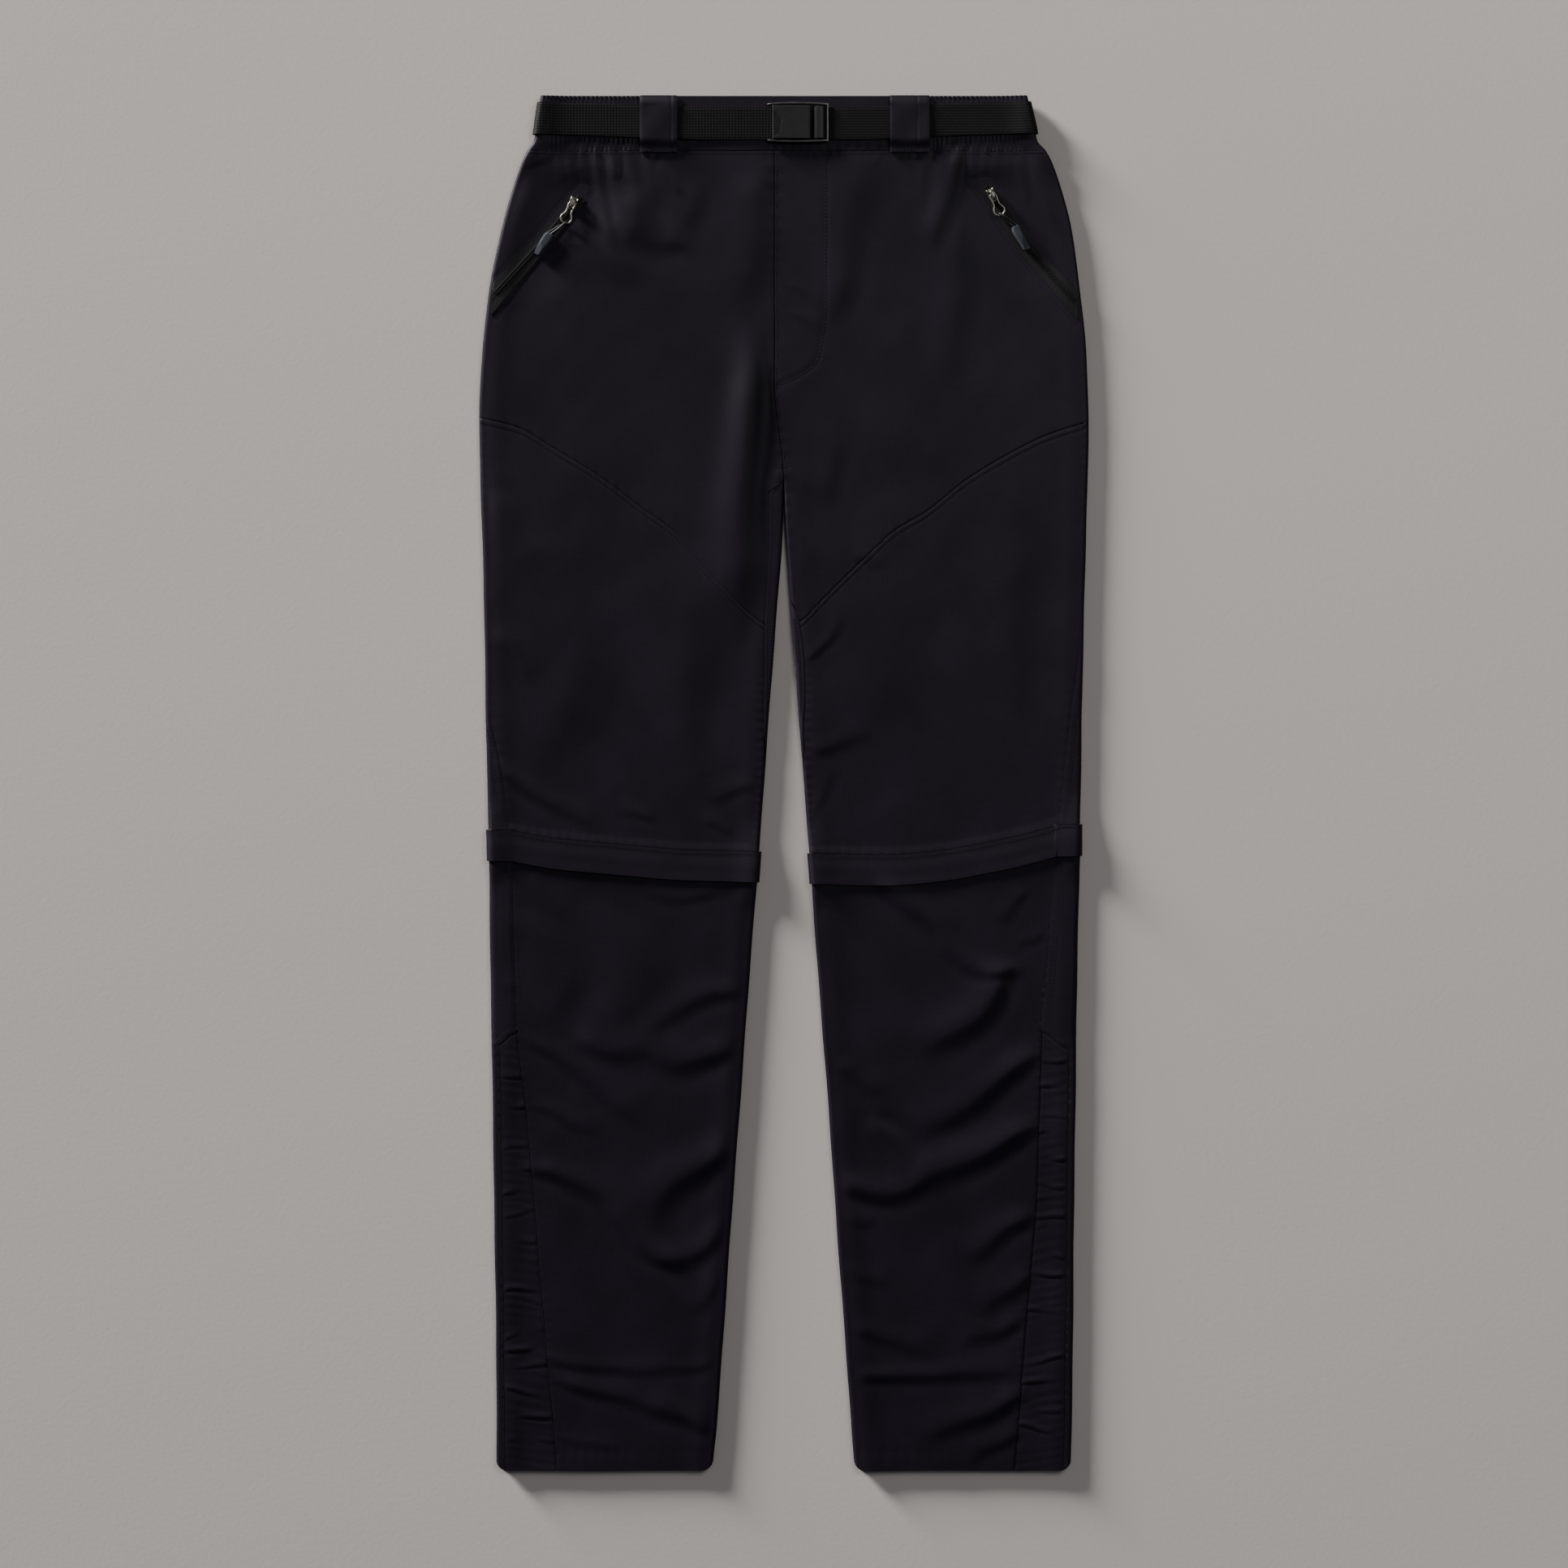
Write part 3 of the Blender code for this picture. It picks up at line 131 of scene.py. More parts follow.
# folds in the cloth: three points (x, down) along each, its width and its height
folds = (
    (-179.2, 40.3, -190.7, 51.2, -205.4, 56.3, 3, 1.2),
    (-167.7, 44.8, -167.7, 49.9, -167.7, 56.3, 2.2, 1.0),
    (-147.8, 42.2, -146.6, 49.9, -145.9, 57.6, 2, 0.8),
    (-131.2, 41.6, -130.6, 51.2, -131.8, 64, 3, 2.0),
    (-126.1, 42.2, -125.4, 47.4, -124.8, 53.8, 1.8, 0.6),
    (-143.4, 51.8, -137, 103.7, -128, 124.8, 3.5, 1.4),
    (-94.7, 50.6, -88.3, 61.4, -79.4, 74.2, 3, 1.5),
    (-177.9, 68.5, -166.4, 62.7, -156.2, 59.5, 2.5, 0.8),
    (-108.2, 78.1, -115.8, 110.1, -112.6, 142.1, 14, 1.8),
    (-64, 71.7, -70.4, 92.2, -87, 116.5, 9, 0.8),
    (-12.2, 63.4, -17.9, 110.1, -25.6, 158.1, 12, 1.6),
    (-24.3, 133.1, -21.8, 143.4, -18.6, 154.9, 3, 0.7),
    (-23.0, 205.0, -24.0, 300.0, -30.0, 401.3, 11, 5.0),
    (-236.2, 425.6, -218.2, 439.7, -201.6, 459.5, 8, 1.2),
    (-228.5, 310.4, -208.6, 334.1, -185, 357.8, 12, 1),
    (-230.4, 529.3, -199.7, 550.4, -154.9, 576.6, 5, 1.8),
    (-128.6, 561.9, -116.5, 567, -104.3, 570.9, 4, 0.9),
    (-62.7, 569.6, -53.1, 576.6, -43.5, 581.8, 4, 0.9),
    (-58.9, 556.2, -40.3, 550.4, -21.8, 545.3, 5, 1.2),
    (-167, 282.9, -156.2, 398.1, -169, 519.7, 28, 1.2),
    (-60.2, 366.1, -70.4, 436.5, -60.2, 532.5, 18, 1.3),
    (-113.9, 624, -94.1, 632.3, -55, 630.4, 5, 1.2),
    (-27.5, 709.1, -66.6, 715.5, -103, 734.7, 7, 1.6),
    (-108.8, 756.5, -74.2, 764.8, -41, 755.2, 9, 1.8),
    (-161.3, 749.4, -135, 755.8, -108.2, 757.8, 8, 1.4),
    (-199, 747.5, -151.7, 782.1, -121.6, 807.7, 6, 1.6),
    (-195.2, 798.1, -172.8, 809, -150.4, 817.9, 5, 1.2),
    (-198.4, 849.9, -162.6, 859.5, -131.8, 884.5, 7, 2.2),
    (-138.2, 879.4, -112.6, 907.5, -88.3, 924.8, 7, 2.5),
    (-94.7, 925.4, -66.6, 913.9, -37.1, 892.2, 7, 2.2),
    (-38.4, 832, -67.8, 849.9, -101.1, 882.6, 10, 2.2),
    (-45.4, 935.7, -58.2, 948.5, -71.7, 960, 6, 1.2),
    (-188.2, 996.5, -147.2, 1004.8, -98.6, 1006.1, 4, 1.4),
    (-102.4, 1006.1, -74.2, 1004.8, -48.6, 1000.3, 4, 1.1),
    (-176.6, 1015, -140.2, 1025.9, -98.6, 1037.4, 5, 2.2),
    (-106.2, 1034.9, -80.6, 1045.1, -53.8, 1056, 6, 2.5),
    (-176.6, 1059.2, -157.4, 1063.7, -130.6, 1067.5, 3, 0.7),
    (-230.4, 700.2, -222.7, 702.7, -211.2, 706.6, 3, 0.8),
    (-208.6, 641.3, -170.2, 679.7, -176.6, 730.9, 16, 0.9),
    (-131.8, 641.3, -106.2, 686.1, -119, 730.9, 18, 0.9),
    (140.2, 39.7, 135.7, 62.1, 122.9, 113.9, 5.5, 4.4),
    (169, 41.6, 169.6, 47.4, 168.3, 55.7, 2, 0.8),
    (185.6, 37.1, 189.4, 60.8, 193.3, 85.8, 3, 1.9),
    (199.7, 47.4, 207.4, 71.7, 215.7, 99.8, 3.5, 2.0),
    (80.6, 41.6, 76.8, 47.4, 71.7, 53.8, 2.5, 0.7),
    (66.6, 48.6, 53.8, 123.5, 43.5, 166.4, 12, 1.6),
    (4.0, 150.0, 14.0, 155.0, 27.0, 163.0, 3, 0.7),
    (3.0, 172.0, 14.0, 176.0, 26.0, 186.0, 3, 0.7),
    (-132.0, 108.0, -105.0, 116.0, -78.0, 122.0, 9, 1.0),
    (141.4, 96, 140.2, 154.9, 137.6, 217.6, 10, 1.8),
    (184.3, 273.3, 189.4, 372.5, 186.9, 476.2, 16, 1.4),
    (40.3, 260.5, 41.6, 288, 39, 314.9, 8, 1),
    (17.9, 445.4, 34.6, 432, 44.8, 410.9, 4, 1.2),
    (55, 362.9, 65.3, 368, 76.2, 371.8, 4, 0.8),
    (22.4, 572.8, 29.4, 554.9, 39.7, 534.4, 4, 1),
    (19.8, 517.8, 42.9, 513.3, 65.9, 505.6, 6, 1.1),
    (81.9, 334.1, 93.4, 410.9, 85.8, 500.5, 26, 1.1),
    (105, 177.3, 102.4, 231.7, 117.8, 284.2, 20, 1),
    (72.3, 624, 97.9, 641.9, 122.9, 662.4, 7, 1.8),
    (119, 659.8, 138.2, 683.5, 181.8, 692.5, 6, 1.9),
    (177.3, 693.1, 163.8, 718.1, 114.6, 753.9, 9, 2.2),
    (191.4, 627.8, 180.5, 641.3, 169.6, 651.5, 5, 1),
    (204.8, 662.4, 194.6, 666.9, 184.3, 671.4, 4, 0.8),
    (196.5, 760.3, 167.7, 783.4, 116.5, 817.9, 8, 2.4),
    (196.5, 817.9, 159.4, 836.5, 113.3, 858.2, 8, 2.8),
    (117.8, 856.3, 76.2, 868.5, 38.4, 859.5, 7, 2.6),
    (42.2, 885.8, 56.3, 889, 70.4, 889.6, 4, 0.9),
    (193.9, 884.5, 174.1, 899.2, 149.1, 917.8, 7, 2),
    (193.9, 932.5, 176.6, 945.9, 158.7, 960, 7, 1.6),
    (186.9, 969.6, 164.5, 977.3, 142.7, 983.7, 6, 1.4),
    (53.8, 1013.1, 98.6, 1011.2, 179.8, 1009.9, 5, 2.2),
    (186.9, 1026.6, 156.2, 1043.2, 114.6, 1058.6, 7, 2),
    (185, 1057.9, 165.8, 1066.2, 149.1, 1077.1, 5, 1.3),
    (48, 925.4, 64, 933.1, 79.4, 939.5, 5, 1),
    (51.2, 975.4, 85.1, 983, 114.6, 996.5, 6, 1.3),
    (72.3, 805.1, 92.2, 824.3, 105.6, 839.7, 8, 1.4),
    (39.7, 766.7, 57.6, 777.6, 74.9, 787.8, 6, 1.1),
)

# slanted pocket zips: the tape's edges from slider to outer fold, the way of the pull, and the stitching round it
pockets = {
    -1: {"edges": ((-163.8, 76.5, -157.2, 82.5), (-197.8, 115.2, -191.6, 125.4), (-230, 147.5, -231, 173)),
         "slider": (-166.7, 85.4), "puller": (-173.4, 101.2), "cord": (-183.4, 107.6), "tab": (-195, 124.5),
         "stitching": ((-227.5, 176), (-191, 127.5), (-156.2, 83.5), (-150.4, 72.3), (-161.3, 67.8),
                       (-170.5, 77.5), (-200.5, 113), (-228, 143.5))},
    1: {"edges": ((162, 68.5, 155, 74.5), (196.2, 117.8, 187, 124.8), (231, 153.5, 231.5, 177)),
        "slider": (164.2, 78.7), "puller": (171.4, 95), "cord": (181, 102), "tab": (191.4, 120.8),
        "stitching": ((229, 181), (184.6, 127), (154, 81), (145, 68.5), (160, 62.7), (168.3, 71),
                      (198.7, 115.5), (229, 150.5))},
}
# where each pull lies: x and down at its two ends
pullLines = ((-163.0, 80.0, -198.0, 128.0), (161.0, 74.0, 195.0, 125.0))


def smoothCurve(x, xs, ys):
    # cubic pieces through the points, with slopes held so that it never overshoots
    xs, ys = np.asarray(xs, float), np.asarray(ys, float)
    steps = np.diff(xs)
    slopes = np.diff(ys) / steps
    sameWay = slopes[1:] * slopes[:-1] > 0
    total = np.where(sameWay, slopes[1:] + slopes[:-1], 1.0)
    tangents = np.zeros_like(ys)
    tangents[1:-1] = np.where(sameWay, 2 * slopes[1:] * slopes[:-1] / total, 0.0)
    tangents[0], tangents[-1] = slopes[0], slopes[-1]
    x = np.clip(x, xs[0], xs[-1])
    i = np.clip(np.searchsorted(xs, x, side="right") - 1, 0, len(steps) - 1)
    t = (x - xs[i]) / steps[i]
    start = (1 + 2 * t) * (1 - t) ** 2 * ys[i] + t * (1 - t) ** 2 * steps[i] * tangents[i]
    end = t * t * (3 - 2 * t) * ys[i + 1] + t * t * (t - 1) * steps[i] * tangents[i + 1]
    return start + end


def ease(t):
    # 0 before t = 0, 1 after t = 1, smooth between
    t = np.clip(t, 0.0, 1.0)
    return t * t * (3 - 2 * t)


def bell(t):
    # 1 at t = 0, smoothly down to nearly 0 at t = 2 either way
    return np.exp(-t ** 2)


def unit(vectors):
    return vectors / np.linalg.norm(vectors, axis=-1, keepdims=True)


def sideBySide(*parts):
    return np.concatenate(parts, axis=1)


def lengthsAlong(a, b, axis=1):
    # how far each place of a grid lies from the first of its row, or column
    steps = np.cumsum(np.hypot(np.diff(a, axis=axis), np.diff(b, axis=axis)), axis=axis)
    return np.concatenate([np.zeros_like(np.take(a, [0], axis=axis)), steps], axis=axis)


def pathLengths(points):
    return np.concatenate([[0.0], np.cumsum(np.linalg.norm(np.diff(points, axis=0), axis=1))])


def placesOn(points, lengths, at):
    return np.stack([np.interp(at, lengths, points[:, i]) for i in range(points.shape[1])], axis=-1)


def smoothPath(points, step):
    # a Catmull-Rom curve through the points, with a place every step
    points = np.asarray(points, float)
    padded = np.concatenate([2 * points[:1] - points[1:2], points, 2 * points[-1:] - points[-2:-1]])
    t = np.linspace(0.0, 1.0, 24, endpoint=False)[None, :, None]
    p0, p1, p2, p3 = (padded[i:len(padded) - 3 + i, None, :] for i in range(4))
    curve = 0.5 * (2 * p1 + (p2 - p0) * t + (2 * p0 - 5 * p1 + 4 * p2 - p3) * t ** 2
                   + (3 * p1 - p0 - 3 * p2 + p3) * t ** 3)
    curve = np.concatenate([curve.reshape(-1, points.shape[1]), points[-1:]])
    lengths = pathLengths(curve)
    return placesOn(curve, lengths, np.linspace(0.0, lengths[-1], max(int(round(lengths[-1] / step)), 1) + 1))


def sideName(side):
    return "left" if side < 0 else "right"


def outerEdge(side, down):
    return smoothCurve(down, outline["down"], outline["outer" + sideName(side).title()]) - halfCloth


def inseamEdge(down):
    return smoothCurve(down, outline["down"], outline["inseam"]) + halfCloth


def outerLip(side, down):
    return smoothCurve(down, lips["down"], lips["outer" + sideName(side).title()])


def innerLip(side, down):
    return smoothCurve(down, lips["down"], lips["inner" + sideName(side).title()])


def yokeSeam(side, x):
    return smoothCurve(yoke["edge"] - np.abs(x), yoke["in"], yoke[sideName(side)])


def kneeSeam(side, x):
    return smoothCurve(knee["edge"] - np.abs(x), knee["in"], knee[sideName(side)])


def centreSeam(down):
    return garment["centreFront"] * (1.0 - ease((down - garment["flyBend"]) / (crotch - garment["flyBend"])))


def forked(down):
    # 0 where the garment is one tube, 1 where the legs have parted
    return ease((down - (crotch - 10.0)) / 14.0)


def waistLift(down):
    # the back waistband lies on the belt; below it the panels come down to the surface
    return waistRise * (1.0 - ease((down - waistband) / 32.0))


def kneeLiftUnder(side, x, down):
    # under the leg, the zip and the top of the calf lie on the flap
    return flapOut * (1.0 - ease((down - kneeSeam(side, x) - garment["kneeFlap"] - 3.5) / 12.0))


def kneeLiftTop(side, x, down):
    past = down - kneeSeam(side, x)
    return flapOut * ease((past + 28.0) / 26.0) * (1.0 - ease((past - garment["kneeFlap"]) / 24.0))


def foldHeight(x, down):
    # each fold is a ridge beside a bowed line, gentle towards the light and steep away from it,
    # with a shallow hollow beyond the steep side, fading in and out at its ends
    total = np.zeros(np.shape(x))
    for x1, down1, x2, down2, x3, down3, width, height in folds:
        length = math.hypot(x3 - x1, down3 - down1)
        reach = 4.0 * width + 0.2 * length
        near = ((x > min(x1, x2, x3) - reach) & (x < max(x1, x2, x3) + reach)
                & (down > min(down1, down2, down3) - reach) & (down < max(down1, down2, down3) + reach))
        if not near.any():
            continue
        alongX, alongDown = (x3 - x1) / length, (down3 - down1) / length
        awayX, awayDown = (alongDown, -alongX) if alongDown - alongX > 0 else (-alongDown, alongX)
        middle = ((x2 - x1) * alongX + (down2 - down1) * alongDown) / length
        bow = ((x2 - x1) * awayX + (down2 - down1) * awayDown) / (middle * (1.0 - middle))
        t = ((x[near] - x1) * alongX + (down[near] - down1) * alongDown) / length
        inside = np.clip(t, 0.0, 1.0)
        across = (x[near] - x1) * awayX + (down[near] - down1) * awayDown - bow * inside * (1.0 - inside)
        fade = ease((t + 0.15) / 0.35) * ease((1.2 - t) / 0.4)
        # narrow and high at the end by the leg's edge, wider and lower towards its middle
        inward = inside if abs(abs(x1) - 120.0) > abs(abs(x3) - 120.0) else 1.0 - inside
        wide = width * (0.8 + 0.6 * inward)
        across = across + 0.2 * width * np.sin(7.0 * t + down1)
        ridge = across + 0.55 * wide
        ridge = bell(ridge / np.where(ridge < 0.0, 1.5 * wide, 0.8 * wide))
        hollow = bell((across - 0.95 * wide) / (0.8 * wide))
        share = garment["foldShare"] + garment["broadShare"] * min(max((width - 5.0) / 6.0, 0.0), 1.0)
        total[near] += share * height * fade * (1.1 - 0.4 * inward) * (ridge - 0.3 * hollow)
    return total


def ripple(x, down):
    # slight unevenness of cloth that lies loose: products of slow waves, never more than 0.3 high
    fine = np.sin(x / 7.3 + 1.7 * np.sin(down / 31.0)) * np.sin(down / 9.1 + 1.3 * np.sin(x / 27.0))
    broad = np.sin(x / 17.0 + down / 23.0 + 2.0 * np.sin(down / 61.0)) * np.sin(down / 29.0 - x / 37.0)
    return 0.06 * fine + 0.16 * broad


def pocketCalm(x, down):
    # 0 under the pulls, where the cloth lies close, and 1 well away from them
    calm = np.ones(np.shape(x))
    for x1, down1, x2, down2 in pullLines:
        runX, runDown = x2 - x1, down2 - down1
        t = np.clip(((x - x1) * runX + (down - down1) * runDown) / (runX ** 2 + runDown ** 2), 0.0, 1.0)
        distance = np.hypot(x - x1 - t * runX, down - down1 - t * runDown)
        calm = np.minimum(calm, ease((distance - 6.0) / 34.0))
    return calm


def gathers(x, down):
    # pleats of the elastic: narrow waves across the band, that run out unevenly below it
    across = np.abs(x)
    below = np.maximum(down - waistband, 0.0)
    narrow = np.sin(2.0 * math.pi * (across + 1.0 * np.sin(across / 9.0) + 0.5 * np.sin(across / 3.7)) / 3.5)
    uneven = 0.5 + 0.5 * np.sin(across / 5.3 + 0.03 * x) * np.sin(across / 11.0 + down / 15.0)
    size = (0.2 + 0.14 * ease((down - 31.0) / 5.0) * ease((waistband + 6.0 - down) / 6.0)) * uneven
    wide = np.sin(2.0 * math.pi * (across + 3.1 * np.sin(across / 13.0) + 0.12 * below) / 11.5 + 0.02 * x)
    wide = wide * (0.6 + 0.4 * np.sin(across / 19.0 + 1.0))
    return ease((across - 97.0) / 6.0) * (size * narrow * np.exp(-below / 7.0)
                                          + 0.42 * wide * np.exp(-below / 22.0) * ease((down - 31.0) / 14.0))


def topHeight(side, x, down):
    # middle of the front wall: the back wall, a small gap, the roll at the edges, then folds and gathers
    fromOuter = np.maximum(outerEdge(side, down) - foldRadius - np.abs(x), 0.0)
    aboveCrotch = np.maximum(crotch - down, 0.0)
    fromInner = np.maximum(np.hypot(np.abs(x) - inseamEdge(down), aboveCrotch) - foldRadius, 0.0)
    puff = np.minimum(bell(fromOuter / garment["puffReach"]) + bell(fromInner / garment["puffReach"]), 1.0)
    low = clothThick + garment["restGap"]
    free = 1.0 - bell(np.minimum(fromOuter, fromInner) / 9.0)
    base = halfCloth + waistLift(down) + kneeLiftTop(side, x, down)
    room = gatherRoom * (1.0 - ease((down - waistband) / 25.0))
    rolled = base + room + low + (2.0 * foldRadius - low) * puff
    # the cloth stands at one level, whatever lies beneath it, a little lower under the pulls
    calm = pocketCalm(x, down)
    level = garment["level"] + garment["waistLevel"] * (1.0 - ease((down - waistband) / 110.0))
    loft = np.maximum(level - base - room - low, 0.0)
    loft = loft - np.maximum(loft - garment["pocketLoft"], 0.0) * (1.0 - calm)
    loose = loft + (foldHeight(x, down) + ripple(x, down)) * calm
    loose = np.where(loose < 0.0, -0.3 * (1.0 - np.exp(loose / 0.3)), loose)
    return rolled + loose * free * ease((down - waistband + 4.0) / 14.0) + gathers(x, down) * free


def foldSection(run, out):
    # round a fold: how far in from the fold line, and how far above its centre, the cloth lies
    angle = np.clip(run, -quarter, quarter) / foldRadius
    inset = foldRadius - (foldRadius + out) * np.cos(angle) + np.maximum(np.abs(run) - quarter, 0.0)
    return inset, (foldRadius + out) * np.sin(angle)


def foldRise(side, x, down, run, out, under, edgeX):
    # height round a fold, meeting the top of the garment above and the surface below
    rise = foldSection(run, out)[1]
    centre = halfCloth + under + foldRadius
    meet = topHeight(side, edgeX, down) - centre - foldRadius
    rolled = centre + rise + np.clip(rise / (foldRadius + out), 0.0, 1.0) * meet
    return np.where(run > quarter, topHeight(side, x, down) + out, rolled)


def panelWidth(side, down):
    # cloth over the top, from the outer fold to the inseam fold, or above the crotch to the fly
    half = outerEdge(side, down) - foldRadius + quarter
    toFly = half - side * centreSeam(down) + innerLip(side, down)
    toInseam = half - inseamEdge(down) - foldRadius + quarter
    return toFly + (toInseam - toFly) * forked(down)


def outerX(side, run, down, out=0.0):
    return side * (outerEdge(side, down) - foldSection(run, out)[0])


def innerX(side, run, down, out=0.0, back=False):
    x = side * (inseamEdge(down) + foldSection(run, out)[0])
    beside = innerLip(side, down)
    flat = side * (beside - run) if back else centreSeam(down) + side * (run - beside)
    return flat + forked(down + earlyFork * back) * (x - flat)


def outerZ(side, x, down, run, out, under):
    return foldRise(side, x, down, run, out, under, side * (outerEdge(side, down) - foldRadius))


def innerZ(side, x, down, run, out, under, back=False):
    z = foldRise(side, x, down, run, out, under, side * (inseamEdge(down) + foldRadius))
    flat = halfCloth + under - out if back else topHeight(side, x, down) + out
    return flat + forked(down + earlyFork * back) * (z - flat)


def seamGap(lip):
    return np.where(lip < quarter, garment["foldSeam"], seamRoom)


earlyFork = 8.0    # the back panels part this much above the front ones
# grid lines close together beside a seam, then even
seamSteps = (0.0, 0.5, 1.1, 1.9, 3.0, 3.8, 4.4, 5.0, 6.0)
edgeSteps = (0.0, 0.7, 1.6, 2.8, 4.2)


def gridLines(steps, cells):
    # share and offset of each line: fixed steps beside both ends and even between
    steps = np.asarray(steps, float)
    even = np.linspace(0.0, 1.0, cells + 1)[1:-1]
    shares = np.concatenate([0.0 * steps, even, 0.0 * steps + 1.0])
    return shares, np.concatenate([steps, steps[-1] * (1.0 - 2.0 * even), -steps[::-1]])


def rowsBetween(lines, low, high):
    return low + (high - low) * lines[0][:, None] + lines[1][:, None]


def columnsBetween(lines, low, high):
    return low + (high - low) * lines[0][None, :] + lines[1][None, :]


def evenColumns(start, end, count, low, high):
    # evenly spaced shares of the way from low to high
    return columnsBetween((np.linspace(start, end, count), np.zeros(count)), low, high)


def seamRelief(away, topstitch, share=1.0):
    # the cloth dips into a seam; with a topstitch the doubled cloth beside it stands proud and dips at the row
    dip = -0.3 * share * bell(away / 0.8)
    if topstitch:
        dip = dip + 0.08 * ease(away / 1.2) * ease((topstitch - away) / 0.8) - 0.12 * bell((away - topstitch) / 0.7)
    return dip


def puckers(along, away, pitch, size):
    # small waves along a seam that die out beside it
    wave = np.sin(2.0 * math.pi * along / pitch + 1.9 * np.sin(along / 23.0))
    return size * wave * bell(away / 6.0) * (0.6 + 0.4 * np.sin(along / 37.0))


def sewn(side, rows, x, down, away):
    # relief beside seams: each row has its edge, topstitch, depth to left and right, and pitch and size of puckers
    z = 0.0
    for edge, topstitch, share, pitch, size in rows:
        along = x if edge in ("top", "bottom") else down
        z = z + seamRelief(away[edge], topstitch, share[side > 0]) + puckers(along, away[edge], pitch, size)
    return z


def frontPanel(side, rows, columns, top, bottom, under, out=0.0, relief=None):
    # rows share out the way from the top seam to the bottom seam, and columns the run from the outer
    # seam to the inner one; each depends on the other, so the grid settles by going round
    x = side * np.linspace(225.0, 12.0, len(columns[0]))[None, :] + 0.0 * rows[0][:, None]
    for _ in range(36):
        upper, lower = top(x) + seamRoom, bottom(x) - seamRoom
        down = rowsBetween(rows, upper, lower)
        width = panelWidth(side, down)
        outer, inner = outerLip(side, down), innerLip(side, down)
        first, last = outer + seamGap(outer), width - inner - seamGap(inner)
        run = columnsBetween(columns, first, last)
        nearInner = width - run < run
        found = np.where(nearInner, innerX(side, width - run, down, out), outerX(side, run, down, out))
        x = 0.5 * (x + found)
    lift = under(x, down)
    z = np.where(nearInner, innerZ(side, x, down, width - run, out, lift), outerZ(side, x, down, run, out, lift))
    z = z + relief(x, down, {"top": down - upper, "bottom": lower - down, "outer": run - first, "inner": last - run})
    return {"x": x, "z": z, "down": down, "run": run}


def stripPanel(side, rows, columns, top, start, end, relief=None):
    # a panel down to the hem, between two runs from the outer fold
    x = side * np.linspace(225.0, 190.0, len(columns[0]))[None, :] + 0.0 * rows[0][:, None]
    for _ in range(30):
        down = rowsBetween(rows, top(x) + seamRoom, hemLine(x) - seamRoom)
        first, last = start(down), end(down)
        run = columnsBetween(columns, first, last)
        x = 0.5 * (x + outerX(side, run, down))
    z = outerZ(side, x, down, run, 0.0, waistLift(down))
    if relief:
        z = z + relief(x, down, {"top": down - down[:1], "outer": run - first, "inner": last - run})
    return {"x": x, "z": z, "down": down, "run": run}


def backPanel(side, outerDown, innerDown, lip, under, out=0.0, across=30, lipCells=14, relief=None):
    # from its lip on the front, round the outer fold, under the leg, and round the inseam fold to the other lip
    outerDown, innerDown = outerDown[:, None], innerDown[:, None]
    reach = lip(outerDown) - seamGap(lip(outerDown))
    fold = 0.0 * reach
    run = sideBySide(columnsBetween(gridLines(edgeSteps, lipCells), reach, fold),
                     evenColumns(0.0, 1.0, 7, fold, fold - quarter)[:, 1:])
    down = outerDown + 0.0 * run
    x = outerX(side, run, down, out)
    z = outerZ(side, x, down, run, out, under(x, down))
    if relief:
        z = z + relief(x, down, {"outer": np.maximum(reach - run, 0.0)}) * ease(run / 2.0)

    part = np.linspace(0.0, 1.0, across + 1)[None, 1:-1]
    downUnder = outerDown + (innerDown - outerDown) * part
    edge = outerEdge(side, downUnder) - foldRadius
    fork = forked(downUnder + earlyFork)
    xUnder = side * (edge + ((inseamEdge(downUnder) + foldRadius) * fork + 6.0 * (1.0 - fork) - edge) * part)
    inner = ease(np.minimum(edge - np.abs(xUnder), np.abs(xUnder) - inseamEdge(downUnder)) / 20.0)
    zUnder = halfCloth + under(xUnder, downUnder) - out
    zUnder = zUnder + inner * 0.3 * np.maximum(foldHeight(xUnder, downUnder), 0.0) * ease((downUnder - 60.0) / 30.0)

    reachIn = innerLip(side, innerDown) - seamGap(innerLip(side, innerDown))
    runIn = sideBySide(evenColumns(0.0, 1.0, 7, fold - quarter, fold)[:, :-1],
                       columnsBetween(gridLines((0.0, 0.5, 1.1), 9), fold, reachIn))
    downIn = innerDown + 0.0 * runIn
    xIn = innerX(side, runIn, downIn, out, back=True)
    zIn = innerZ(side, xIn, downIn, runIn, out, under(xIn, downIn), back=True)
    if relief:
        zIn = zIn + (relief(xIn, downIn, {"inner": np.maximum(reachIn - runIn, 0.0)}) * ease(runIn / 2.0)
                     * forked(downIn + earlyFork))
    runUnder = -quarter - np.abs(edge - np.abs(xUnder))
    runLast = runIn - quarter - np.abs(edge[:, -1:] - np.abs(xUnder[:, -1:])) - 3.0
    return {"x": sideBySide(x, xUnder, xIn), "z": sideBySide(z, zUnder, zIn),
            "down": sideBySide(down, downUnder, downIn), "run": sideBySide(run, runUnder, runLast)}


